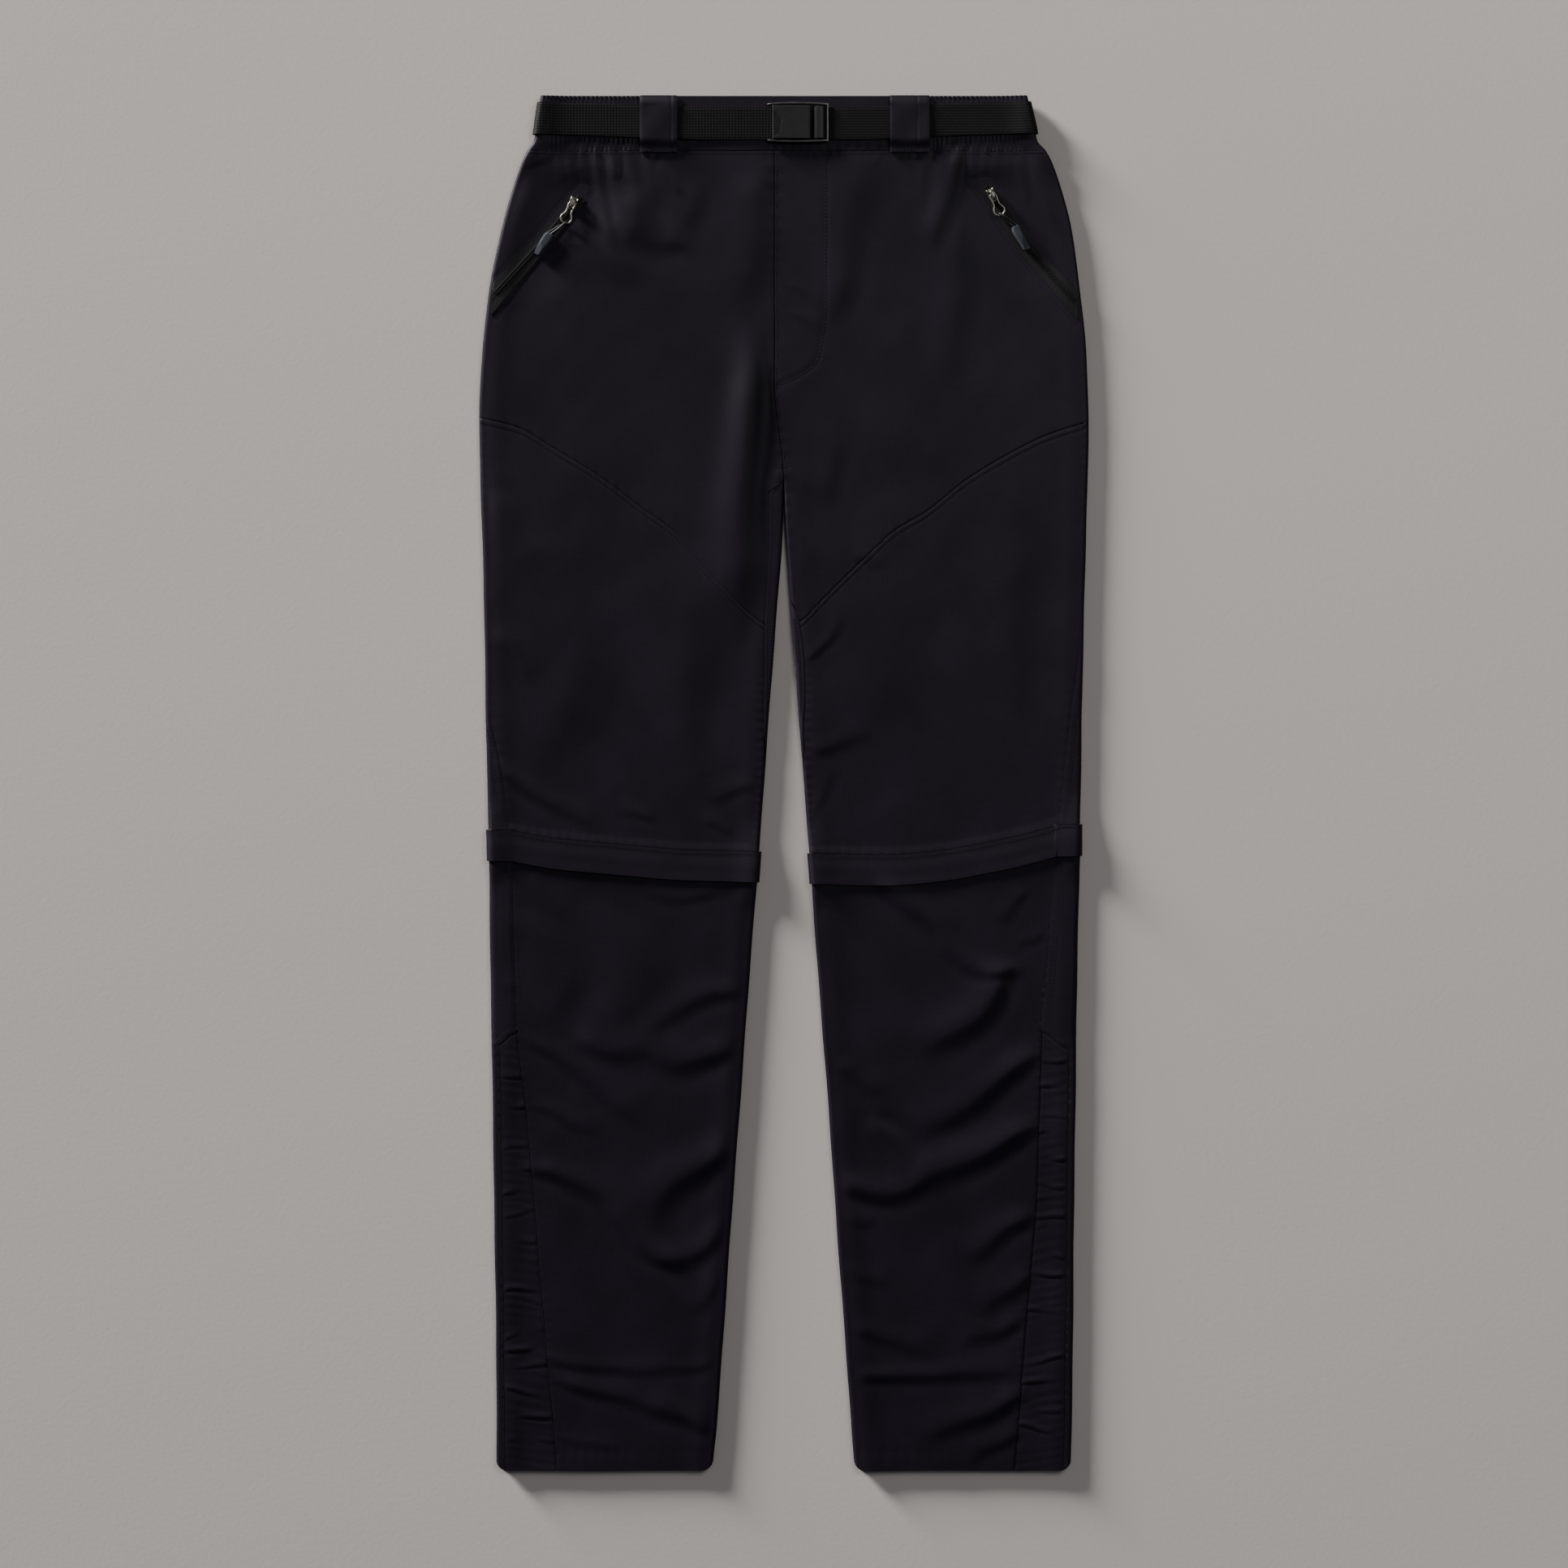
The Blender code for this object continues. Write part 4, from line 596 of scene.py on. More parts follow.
def settle(x, down):
    # nothing sewn lies dead straight: a slow wander of under half a millimetre, and rounded corners at the hem
    edge = np.where(x < 0.0, outerEdge(-1, down), outerEdge(1, down))
    fromEdge = np.minimum(edge - np.abs(x), np.abs(x) - inseamEdge(down))
    turn = np.clip(garment["hemRound"] - fromEdge, 0.0, garment["hemRound"])
    cut = garment["hemRound"] - np.sqrt(garment["hemRound"] ** 2 - turn ** 2 * 0.98)
    share = np.maximum(down - (hem - garment["hemCurve"]), 0.0) / garment["hemCurve"]
    movedX = x + 0.3 * np.sin(down / 19.0 + 0.9) * np.sin(down / 47.0 + 0.7) * ease((down - 60.0) / 60.0)
    movedDown = down + 0.35 * np.sin(x / 23.0 + down / 210.0) * np.sin(x / 61.0 + 0.4) * ease(down / 60.0)
    return movedX, movedDown - cut * share


def gridFaces(rows, columns, closeRows=False, closeColumns=False):
    index = np.arange(rows * columns).reshape(rows, columns)
    if closeRows:
        index = np.concatenate([index, index[:1]])
    if closeColumns:
        index = sideBySide(index, index[:, :1])
    return np.stack([index[:-1, :-1], index[1:, :-1], index[1:, 1:], index[:-1, 1:]], axis=-1).reshape(-1, 4)


def placed(name, data):
    obj = bpy.data.objects.new(name, data)
    bpy.context.scene.collection.objects.link(obj)
    return obj


def meshObject(name, points, faces, material, uv=None):
    mesh = bpy.data.meshes.new(name)
    mesh.from_pydata(np.asarray(points, float), [], [list(f) for f in faces])
    if uv is not None:
        corners = np.concatenate([np.asarray(f) for f in faces])
        mesh.uv_layers.new(name="Cloth").data.foreach_set("uv", np.asarray(uv, np.float32)[corners].ravel())
    mesh.materials.append(material)
    mesh.shade_smooth()
    return placed(name, mesh)


def sharpenBorder(mesh):
    # an edge with one face is a cut edge of the cloth: shading stops there instead of rounding it
    edgeOfCorner = np.empty(len(mesh.loops), np.int32)
    mesh.loops.foreach_get("edge_index", edgeOfCorner)
    border = np.bincount(edgeOfCorner, minlength=len(mesh.edges)) == 1
    mesh.attributes.new("sharp_edge", "BOOLEAN", "EDGE").data.foreach_set("value", border)


def toWorld(x, z, down):
    return np.stack([x, middleDown - down, z], axis=-1) * mm


def clothPiece(node, form, tail, grid, material, slot="cloth", thickness=clothThick,
               settled=True):
    # a grid of cloth given a wall; its cut is the run across by the way down, before gathering
    x, z, down, run = grid["x"], grid["z"], grid["down"], grid["run"]
    along = grid.get("along", down)
    movedX, movedDown = settle(x, down) if settled else (x, down)
    uv = np.stack([run, along], axis=-1).reshape(-1, 2) * mm
    points = toWorld(movedX, z, movedDown).reshape(-1, 3)
    obj = meshObject(node + form + tail, points, gridFaces(*x.shape), material, uv)
    sharpenBorder(obj.data)
    wall = obj.modifiers.new("Wall", "SOLIDIFY")
    wall.thickness = thickness * mm
    wall.offset = 0.0
    wall.use_even_offset = False
    wall.use_quality_normals = True
    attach(obj, "trousers")
    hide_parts(node + tail)
    steps = np.hypot(np.diff(x, axis=1), np.diff(z, axis=1))
    if "along" in grid:
        steps = np.hypot(steps, np.diff(down, axis=1))


def signedVolume(points, quads):
    a, b, c, d = (points[quads[:, i]] for i in range(4))
    return float(np.einsum("ij,ij->i", a, np.cross(b, c)).sum() + np.einsum("ij,ij->i", a, np.cross(c, d)).sum())


def outward(points, faces):
    # turn a closed shell so that its faces point out
    quads = np.array([f for f in faces if len(f) == 4])
    volume = signedVolume(points - points.mean(axis=0), quads)
    return points, faces if volume > 0 else [list(f)[::-1] for f in faces]


def sweepShell(path, reference, halfWide, halfHigh, power=1.0, sides=12, closed=False):
    # an oval section, squarer for a smaller power, carried along a path; reference points along its height
    path, reference = np.asarray(path, float), np.asarray(reference, float)
    tangent = unit(np.roll(path, -1, axis=0) - np.roll(path, 1, axis=0) if closed else np.gradient(path, axis=0))
    high = unit(reference[None, :] - tangent * (tangent @ reference)[:, None])
    wide = np.cross(tangent, high)
    angle = np.linspace(0.0, 2.0 * math.pi, sides, endpoint=False)[None, :, None]
    c, s = (np.sign(v) * np.abs(v) ** power for v in (np.cos(angle), np.sin(angle)))
    halfWide, halfHigh = ((np.asarray(half) * np.ones(len(path)))[:, None, None] for half in (halfWide, halfHigh))
    points = path[:, None, :] + wide[:, None, :] * c * halfWide + high[:, None, :] * s * halfHigh
    faces = gridFaces(len(path), sides, closeRows=closed, closeColumns=True).tolist()
    if not closed:
        last = (len(path) - 1) * sides
        faces += [list(range(sides)), list(range(last, last + sides))[::-1]]
    return outward(points.reshape(-1, 3), faces)


def reliefShell(x, y, top, bottom):
    # a block with a shaped top: the top grid, a skirt down its edges and a flat underside
    rows, columns = x.shape
    points = np.stack([x, y, top], axis=-1).reshape(-1, 3)
    index = np.arange(rows * columns).reshape(rows, columns)
    rim = np.concatenate([index[0, :-1], index[:-1, -1], index[-1, :0:-1], index[:0:-1, 0]])
    skirt = points[rim].copy()
    skirt[:, 2] = bottom
    lower = rows * columns + np.arange(len(rim))
    sides = np.stack([np.roll(rim, -1), np.roll(lower, -1), lower, rim], axis=-1)
    faces = [*gridFaces(rows, columns).tolist(), *sides.tolist(), lower[::-1].tolist()]
    return outward(np.concatenate([points, skirt]), faces)


def roundedEdge(distance, radius):
    # how far a rounded edge has dropped at a distance in from it, as a share of its radius
    return 1.0 - np.sqrt(1.0 - np.clip(1.0 - distance / radius, 0, 1) ** 2)


def hardPiece(name, node, shells, material, body="trousers"):
    points, faces, start = [], [], 0
    for shellPoints, shellFaces in shells:
        points.append(shellPoints)
        faces += [[int(i) + start for i in face] for face in shellFaces]
        start += len(shellPoints)
    obj = meshObject(name, np.concatenate(points) * mm, faces, material)
    obj.data.set_sharp_from_angle(angle=math.radians(38.0))
    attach(obj, body)
    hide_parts(node)


def rodPiece(name, centres, ways, length, radius, material):
    # many short rounded rods, each of four rings of five places, all in one array
    ways = unit(ways)
    up = unit(np.array((0.0, 0.0, 1.0)) - ways * ways[:, 2:3])
    beside = np.cross(ways, up)
    stations = np.array((-1.0, -0.8, 0.8, 1.0)) * 0.5
    sizes = np.array((0.35, 1.0, 1.0, 0.35))
    angle = np.linspace(0.0, 2.0 * math.pi, 5, endpoint=False)
    points = (centres[:, None, None, :] + ways[:, None, None, :] * (stations * length)[None, :, None, None]
              + up[:, None, None, :] * (sizes[:, None] * np.sin(angle)[None, :] * radius)[None, :, :, None]
              + beside[:, None, None, :] * (sizes[:, None] * np.cos(angle)[None, :] * radius)[None, :, :, None])
    one = gridFaces(4, 5, closeColumns=True)
    base = np.arange(len(centres))[:, None, None] * 20
    quads = (one[None] + base).reshape(-1, 4)
    ends = np.concatenate([np.array([[0, 1, 2, 3, 4]])[None] + base, np.array([[19, 18, 17, 16, 15]])[None] + base])
    flat = points.reshape(-1, 3)
    if signedVolume(flat[:20] - flat[:20].mean(axis=0), one) < 0:
        quads, ends = quads[:, ::-1], ends[:, :, ::-1]
    obj = meshObject(name, flat * mm, [*quads.tolist(), *ends.reshape(-1, 5).tolist()], material)
    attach(obj, "trousers")


def addNode(tree, kind, output, inputs, **settings):
    # a shader node: settings are its own properties, and an input is a value or the output that feeds it
    node = tree.nodes.new("ShaderNode" + kind)
    for name, value in settings.items():
        setattr(node, name, value)
    for name, value in inputs.items():
        if isinstance(value, bpy.types.NodeSocket):
            tree.links.new(value, node.inputs[name])
        else:
            node.inputs[name].default_value = value
    return node.outputs[output]


def newMaterial(name, look, metallic=0.0):
    material = bpy.data.materials.new(name)
    material.use_nodes = True
    material.diffuse_color = (*look["colour"], 1.0)
    shader = material.node_tree.nodes["Principled BSDF"]
    shader.inputs["Base Color"].default_value = (*look["colour"], 1.0)
    shader.inputs["Roughness"].default_value = look["roughness"]
    shader.inputs["Metallic"].default_value = metallic
    shader.inputs["Specular IOR Level"].default_value = look.get("specular", 0.5)
    return material, material.node_tree, shader


def coordinates(tree, source, scale=(1.0, 1.0, 1.0), turn=0.0):
    # the piece's own coordinates, in metres, times a scale
    place = addNode(tree, "TexCoord", source, {})
    return addNode(tree, "Mapping", "Vector", {"Vector": place, "Scale": scale, "Rotation": (0.0, 0.0, turn)})


def noiseOf(tree, source, scale, detail=3.0):
    return addNode(tree, "TexNoise", "Fac", {"Vector": coordinates(tree, source, scale), "Scale": 1.0,
                                             "Detail": detail, "Roughness": 0.55})


def waveOf(tree, vector, direction, pitch, distortion):
    # bands one pitch apart, in metres
    return addNode(tree, "TexWave", "Fac", {"Vector": vector, "Scale": 0.314159 / pitch, "Distortion": distortion},
                   bands_direction=direction)


def mixOf(tree, a, b, share):
    return addNode(tree, "Mix", 0, {0: share, 2: a, 3: b}, data_type="FLOAT")


def productOf(tree, a, b):
    return addNode(tree, "Math", 0, {0: a, 1: b}, operation="MULTIPLY")


def tint(tree, value, shader, colour, stops):
    # the colour's brightness follows a value: each stop has its place and the share of the colour there
    node = tree.nodes.new("ShaderNodeValToRGB")
    ramp = node.color_ramp
    while len(ramp.elements) < len(stops):
        ramp.elements.new(0.5)
    for element, (place, share) in zip(ramp.elements, stops):
        element.position = place
        element.color = (*(c * share for c in colour), 1.0)
    tree.links.new(value, node.inputs["Fac"])
    tree.links.new(node.outputs["Color"], shader.inputs["Base Color"])


def bumpOf(tree, height, strength, distance, **below):
    return addNode(tree, "Bump", "Normal", {"Strength": strength, "Distance": distance, "Height": height, **below})


looks = {
    "nylon": {"colour": (0.0066, 0.0044, 0.0092), "roughness": 0.5, "specular": 0.12, "sheen": 0.006,
              "sheenRoughness": 0.45, "sheenTint": (0.75, 0.65, 1.0, 1.0), "thread": 0.00042},
    "webbing": {"colour": (0.0032, 0.0032, 0.0036), "roughness": 0.6, "specular": 0.1, "rib": 0.0024, "row": 0.0021},
    "tape": {"colour": (0.006, 0.006, 0.0068), "roughness": 0.6, "specular": 0.12},
    "ankleTape": {"colour": (0.0045, 0.0034, 0.0058), "roughness": 0.6, "specular": 0.12},
    "silver": {"colour": (0.17, 0.16, 0.14), "roughness": 0.36},
    "rail": {"colour": (0.10, 0.10, 0.10), "roughness": 0.34},
    "plate": {"colour": (0.008, 0.008, 0.009), "roughness": 0.42, "specular": 0.2},
    "rubber": {"colour": (0.034, 0.037, 0.043), "roughness": 0.8, "specular": 0.05},
    "thread": {"colour": (0.0062, 0.0048, 0.0084), "roughness": 0.6, "specular": 0.1},
    "cord": {"colour": (0.02, 0.021, 0.024), "roughness": 0.5, "specular": 0.3},
    "floor": {"colour": (0.455, 0.43, 0.41), "roughness": 0.9, "specular": 0.1, "half": 4.0},
}


def makeNylon():
    # plain weave of fine thread with slubs both ways and a slow change of tone
    look = looks["nylon"]
    material, tree, shader = newMaterial("Aubergine nylon", look)
    shader.inputs["Sheen Weight"].default_value = look["sheen"]
    shader.inputs["Sheen Roughness"].default_value = look["sheenRoughness"]
    shader.inputs["Sheen Tint"].default_value = look["sheenTint"]
    weave = coordinates(tree, "UV")
    cross = productOf(tree, *(waveOf(tree, weave, way, look["thread"], 0.4) for way in "XY"))
    slub = mixOf(tree, noiseOf(tree, "UV", (1600.0, 70.0, 1.0)), noiseOf(tree, "UV", (60.0, 1500.0, 1.0)), 0.5)
    tone = noiseOf(tree, "Object", (18.0, 14.0, 18.0), 2.0)
    tint(tree, mixOf(tree, slub, tone, 0.4), shader, look["colour"], ((0.3, 0.6), (0.5, 1.0), (0.7, 1.55)))
    fine = bumpOf(tree, cross, 0.25, 0.00008)
    tree.links.new(bumpOf(tree, slub, 0.3, 0.00012, Normal=fine), shader.inputs["Normal"])
    return material


def makeWebbing():
    # black ribbed webbing: ribs across it and rows of thread along it, with painted highlights where the threads rise
    # and painted shade between them
    look = looks["webbing"]
    material, tree, shader = newMaterial("Black webbing", look)
    place = coordinates(tree, "UV")
    ribReliefAndPaintedGlint = productOf(tree, waveOf(tree, place, "X", look["rib"], 0.3), waveOf(tree, place, "Y", look["row"], 0.3))
    grain = noiseOf(tree, "UV", (900.0, 900.0, 1.0))
    # the colour follows the ribs: paler on their tops as painted highlight, darker in the grooves as painted shade
    tint(tree, mixOf(tree, ribReliefAndPaintedGlint, grain, 0.35), shader, look["colour"], ((0.12, 0.45), (0.4, 1.2), (0.75, 2.4)))
    fine = bumpOf(tree, grain, 0.3, 0.0001)
    tree.links.new(bumpOf(tree, ribReliefAndPaintedGlint, 0.5, 0.0003, Normal=fine), shader.inputs["Normal"])
    return material


def makeTape(name, look):
    # twill of the zip tape
    material, tree, shader = newMaterial(name, look)
    twill = waveOf(tree, coordinates(tree, "UV", turn=math.radians(52.0)), "X", 0.0011, 0.5)
    mixed = mixOf(tree, twill, noiseOf(tree, "UV", (1200.0, 1200.0, 1.0)), 0.45)
    tint(tree, mixed, shader, look["colour"], ((0.2, 0.65), (0.5, 1.0), (0.8, 1.7)))
    tree.links.new(bumpOf(tree, mixed, 0.5, 0.0002), shader.inputs["Normal"])
    return material


def makeHard(name, look, metallic, grainScale, grainDepth):
    # a hard finish with a little grain, and worn and dull spots in its gloss
    material, tree, shader = newMaterial(name, look, metallic)
    grain = noiseOf(tree, "Object", (grainScale,) * 3, 4.0)
    patches = noiseOf(tree, "Object", (grainScale * 0.12,) * 3, 2.0)
    tint(tree, patches, shader, look["colour"], ((0.3, 0.8), (0.55, 1.0), (0.75, 1.15)))
    rough = addNode(tree, "MapRange", "Result", {"Value": grain, "To Min": look["roughness"] - 0.08,
                                                 "To Max": look["roughness"] + 0.1})
    tree.links.new(rough, shader.inputs["Roughness"])
    tree.links.new(bumpOf(tree, grain, 0.3, grainDepth), shader.inputs["Normal"])
    return material


nylon = makeNylon()
webbing = makeWebbing()
tape = makeTape("Zip tape twill", looks["tape"])
ankleTape = makeTape("Ankle placket", looks["ankleTape"])
silver = makeHard("Antique silver", looks["silver"], 1.0, 900.0, 0.00004)
railMetal = makeHard("Dark rail metal", looks["rail"], 1.0, 900.0, 0.00004)
platePaint = makeHard("Charcoal plate", looks["plate"], 0.0, 1400.0, 0.00006)
rubber = makeHard("Grey pull rubber", looks["rubber"], 0.0, 1100.0, 0.00005)
thread = makeHard("Aubergine thread", looks["thread"], 0.0, 2000.0, 0.00003)
print("materials made")

view = {"lens": 80.0, "sensor": 36.0, "frameWide": 1.2365, "focusHeight": 0.006, "clipEnd": 50.0}
cameraData = bpy.data.cameras.new("Camera")
cameraData.lens = view["lens"]
cameraData.sensor_width = view["sensor"]
cameraData.clip_end = view["clipEnd"]
camera = placed("Camera", cameraData)
camera.location = (0.0, -0.0003, view["frameWide"] * view["lens"] / view["sensor"] + view["focusHeight"])
bpy.context.scene.camera = camera

# place and aim in metres, size in metres, power in watts
lights = {
    "Key": {"at": (-8.3, 8.0, 1.65), "aim": (0.0, 0.0, 0.0), "size": 2.6, "power": 6500.0,
            "colour": (1.0, 0.975, 0.95)},
    "Fill": {"at": (1.4, 1.3, 2.7), "aim": (0.5, 0.1, 0.0), "size": 1.8, "power": 32.0, "colour": (1.0, 0.985, 0.97)},
}
for lightName, light in lights.items():
    lamp = bpy.data.lights.new(lightName, "AREA")
    lamp.shape = "DISK"
    lamp.size = light["size"]
    lamp.energy = light["power"]
    lamp.color = light["colour"]
    lampObject = placed(lightName, lamp)
    lampObject.location = light["at"]
    away = np.asarray(lampObject.location) - np.asarray(light["aim"])
    lampObject.rotation_euler = (math.atan2(math.hypot(away[0], away[1]), away[2]), 0.0,
                                 math.atan2(away[0], -away[1]))

sky = {"colour": (0.9, 0.92, 1.0, 1.0), "strength": 0.12}
world = bpy.data.worlds.new("Studio")
world.use_nodes = True
world.node_tree.nodes["Background"].inputs["Color"].default_value = sky["colour"]
world.node_tree.nodes["Background"].inputs["Strength"].default_value = sky["strength"]
bpy.context.scene.world = world

floorMaterial, floorTree, floorShader = newMaterial("Pale floor", looks["floor"])
floorNoise = noiseOf(floorTree, "Object", (260.0, 260.0, 260.0), 4.0)
floorTree.links.new(bumpOf(floorTree, floorNoise, 0.15, 0.0004), floorShader.inputs["Normal"])
half = looks["floor"]["half"]
floor = meshObject("Floor", [(x * half, y * half, -0.0002) for x, y in ((-1, -1), (1, -1), (1, 1), (-1, 1))],
                   [(0, 1, 2, 3)], floorMaterial)
print("camera, light and floor made")

# rows of stitches on the front: the fly's bent row, and the start of the inseam strip on the left leg
flyStitches = ((33.0, 47.5), (33.0, 90.0), (33.0, 130.0), (32.6, 165.0), (30.6, 188.0), (27.6, 203.0),
               (23.5, 212.0), (12.0, 220.5), (-4.2, 228.0))
stripStart = ((-1.3, 281.0), (-6.2, 294.0), (-11.2, 309.0))
# seams of each panel: edge, distance of its topstitch, depth on the left and right leg, pitch and size of puckers
seamRows = {
    "upper": (("top", 2.6, (0.3, 0.3), 6.5, 0.2), ("bottom", 0.0, (1.0, 1.0), 9.0, 0.16),
              ("inner", 0.0, (1.0, 0.2), 11.0, 0.14)),
    "thigh": (("top", 4.5, (0.3, 0.3), 8.0, 0.12), ("bottom", 0.0, (0.0, 0.0), 8.0, 0.14),
              ("outer", 0.0, (0.2, 1.0), 9.0, 0.1), ("inner", 0.0, (1.0, 0.2), 7.0, 0.1)),
    "shin": (("outer", 0.0, (0.3, 1.0), 7.5, 0.14),),
    "innerLip": (("inner", 2.7, (0.2, 1.0), 8.0, 0.1),),
}
# gathers of the ankle gussets: down at each
gussetCreases = {
    -1: (774, 797, 820, 830, 850, 867, 881, 905, 921, 943, 953, 977, 991, 1003, 1014, 1025, 1044, 1062),
    1: (762, 780, 792, 806, 820, 841, 859, 870, 878, 886, 895, 914, 932, 959, 972, 1000, 1016, 1031, 1040, 1053),
}
legDetail = {"across": 90, "upperRows": 140, "thighRows": 116, "shinRows": 182, "flapRows": 8, "backAcross": 30,
             "backRows": 150}


def onSurface(x, down):
    return waistLift(down) + 0.0 * x


def onTop(x, down):
    return flapOut + 0.0 * x


def waistLine(x):
    return waistband + 0.0 * x


def hemLine(x):
    return hem + 0.0 * x


def besidePath(points, x, down, width, depth):
    # a soft dip along a row of stitches
    path = smoothPath(points, 2.0)
    low, high = path.min(axis=0) - 3.0 * width, path.max(axis=0) + 3.0 * width
    near = (x > low[0]) & (x < high[0]) & (down > low[1]) & (down < high[1])
    dip = np.zeros(np.shape(x))
    if near.any():
        gap = np.hypot(x[near][:, None] - path[None, :, 0], down[near][:, None] - path[None, :, 1]).min(axis=1)
        dip[near] = -depth * bell(gap / width)
    return dip


def flapRelief(x, down, away):
    # the band starts level with the leg and rises over the zip, and its free edge stands off a little
    z = puckers(x, away["top"], 7.0, 0.08) - 0.7 * ease(1.0 - away["top"] / 14.0)
    return z + 0.35 * ease((9.0 - away["bottom"]) / 9.0) * (0.7 + 0.3 * np.sin(x / 14.0))


def zipRelief(x, down, away):
    return -0.55 * ease(1.0 - away["top"] / 8.0)


def makeLeg(side):
    name = sideName(side)
    tail = "_" + name
    wide = gridLines(seamSteps, legDetail["across"])
    corner = float(outerEdge(side, gussetTop) - outerLip(side, gussetTop))

    def yokeLine(x):
        return yokeSeam(side, x)

    def kneeLine(x, by=0.0):
        return kneeSeam(side, x) + by

    def zipFoot(x):
        return kneeLine(x, garment["kneeZip"])

    def flapFoot(x):
        return kneeLine(x, garment["kneeFlap"])

    def gussetLine(x):
        return gussetTop + 0.3 + gussetSlope * np.maximum(np.abs(x) - corner, 0.0)

    def onFlap(x, down):
        return kneeLiftUnder(side, x, down)

    def lip(down):
        return outerLip(side, down)

    def calfLip(down):
        above = lip(np.minimum(down, gussetTop))
        narrowed = np.maximum(above - np.maximum(down - gussetTop, 0.0) / gussetSlope, 3.1)
        return np.where(down < gussetTop, above, narrowed)

    def upperRelief(x, down, away):
        z = sewn(side, seamRows["upper"], x, down, away) + besidePath(pockets[side]["stitching"], x, down, 1.6, 0.3)
        return z + (besidePath(stripStart, x, down, 1.0, 0.35) if side < 0
                    else besidePath(flyStitches, x, down, 1.8, 0.35))

    def thighRelief(x, down, away):
        return sewn(side, seamRows["thigh"], x, down, away) + 0.5 * ease(1.0 - away["bottom"] / 7.0)

    def shinRelief(x, down, away):
        z = sewn(side, seamRows["shin"], x, down, away) - 0.15 * bell((away["bottom"] - 15.5) / 1.2)
        return z + puckers(x, np.abs(away["bottom"] - 14.0), 9.0, 0.06)

    def backFlapRelief(x, down, away):
        return -0.7 * ease(1.0 - (down - kneeLine(x)) / 14.0)

    def lipRelief(x, down, away):
        if "inner" in away:
            start = 300.0 if side < 0 else 395.0
            return sewn(side, seamRows["innerLip"], x, down, away) - 0.3 * ease(1.0 - (down - start) / 24.0)
        facing = 0.1 + (0.9 if side < 0 else 0.1) * ease((gussetTop - down) / 2.0)
        z = seamRelief(away["outer"], 5.0, facing) + puckers(down, away["outer"], 9.0, 0.1)
        return z + 0.5 * ease(1.0 - np.abs(kneeLine(x) - down) / 7.0)

    def gussetRelief(x, down, away):
        # uneven creases that tilt and fade on their way across, over finer waves
        z = seamRelief(away["inner"], 0.0)
        across = np.abs(x) - 200.0
        for i, at in enumerate(gussetCreases[side]):
            s = down - at - (0.16 * math.sin(i * 2.4) * across + 1.6 * np.sin(across / 8.0 + i))
            size = 0.30 + 0.16 * math.sin(i * 1.7)
            reach = np.clip(0.5 + 0.8 * np.sin(across / (9.0 + 3.0 * math.sin(i)) + 2.1 * i), 0.0, 1.2)
            z = z + size * reach * (0.9 * bell((s + 2.2) / 2.6) - 0.8 * bell((s - 0.6) / 1.0))
        uneven = 0.5 + 0.5 * np.sin(down / 23.0 + across / 11.0) * np.sin(down / 9.0)
        z = z + 0.07 * uneven * np.sin(2 * math.pi * (down + 2.0 * np.sin(down / 17.0)) / 7.5 + across / 7.0)
        z = z * ease(away["outer"] / 3.0) * ease((down - 742.0) / 14.0) * ease(away["inner"] / 1.5 + 0.2)
        return z - 0.35 * bell(away["top"] / 1.6)

    def front(node, form, rows, top, bottom, under, relief, columns=wide, out=0.0, material=nylon, slot="cloth"):
        grid = frontPanel(side, rows, columns, top, bottom, under, out, relief)
        clothPiece(node, form, tail, grid, material, slot)
        return grid

    def back(node, form, outerDown, innerDown, under, edge=lip, out=0.0, lipCells=14, relief=None, material=nylon,
             slot="cloth"):
        grid = backPanel(side, outerDown, innerDown, edge, under, out, legDetail["backAcross"], lipCells, relief)
        clothPiece(node, form, tail, grid, material, slot)

    front("front_upper", "_panel", gridLines(seamSteps, legDetail["upperRows"]), waistLine, yokeLine, onSurface,
          upperRelief)
    thigh = front("front_thigh", "_panel", gridLines(seamSteps, legDetail["thighRows"]), yokeLine, kneeLine,
                  onSurface, thighRelief)
    shin = front("front_shin", "_panel", gridLines(edgeSteps, legDetail["shinRows"]), zipFoot, hemLine, onFlap,
                 shinRelief)
    flap = front("knee_flap_front", "_band", gridLines((0.0, 0.6, 1.2, 1.8, 2.8), legDetail["flapRows"]), kneeLine,
                 flapFoot, onTop, flapRelief, out=flapOut)
    zipGrid = front("knee_zip_front", "_tape", gridLines((0.0, 1.0, 3.0), 5), kneeLine, zipFoot, onTop, zipRelief,
                    columns=gridLines(edgeSteps, 40), material=tape, slot="zip_tape")

    rows = np.linspace(0.0, 1.0, legDetail["backRows"])
    ends = [(waistband + seamRoom, kneeLine(np.array(thigh["x"][-1, column])) - seamRoom) for column in (0, -1)]
    outerDown, innerDown = (a + (b - a) * rows for a, b in ends)
    back("back_thigh", "_panel", outerDown, innerDown, onSurface, relief=lipRelief)
    back("knee_zip_back", "_tape", zipGrid["down"][:, 0], zipGrid["down"][:, -1], onTop, lipCells=8, material=tape,
         slot="zip_tape")
    back("knee_flap_back", "_band", flap["down"][:, 0], flap["down"][:, -1], onTop, out=flapOut,
         relief=backFlapRelief)

    # rows of the calf lie close together where the gusset's slanted top narrows its lip
    topOuter, topInner = shin["down"][0, 0], shin["down"][0, -1]
    calfOuter = np.concatenate([np.linspace(topOuter, gussetTop, 44)[:-1],
                                np.linspace(gussetTop, gussetTop + 24.0, 13)[:-1],
                                np.linspace(gussetTop + 24.0, hem - seamRoom, 90)])
    share = (calfOuter - topOuter) / (calfOuter[-1] - topOuter)
    back("back_calf", "_panel", calfOuter, topInner + (calfOuter[-1] - topInner) * share, onFlap, calfLip,
         relief=lipRelief)

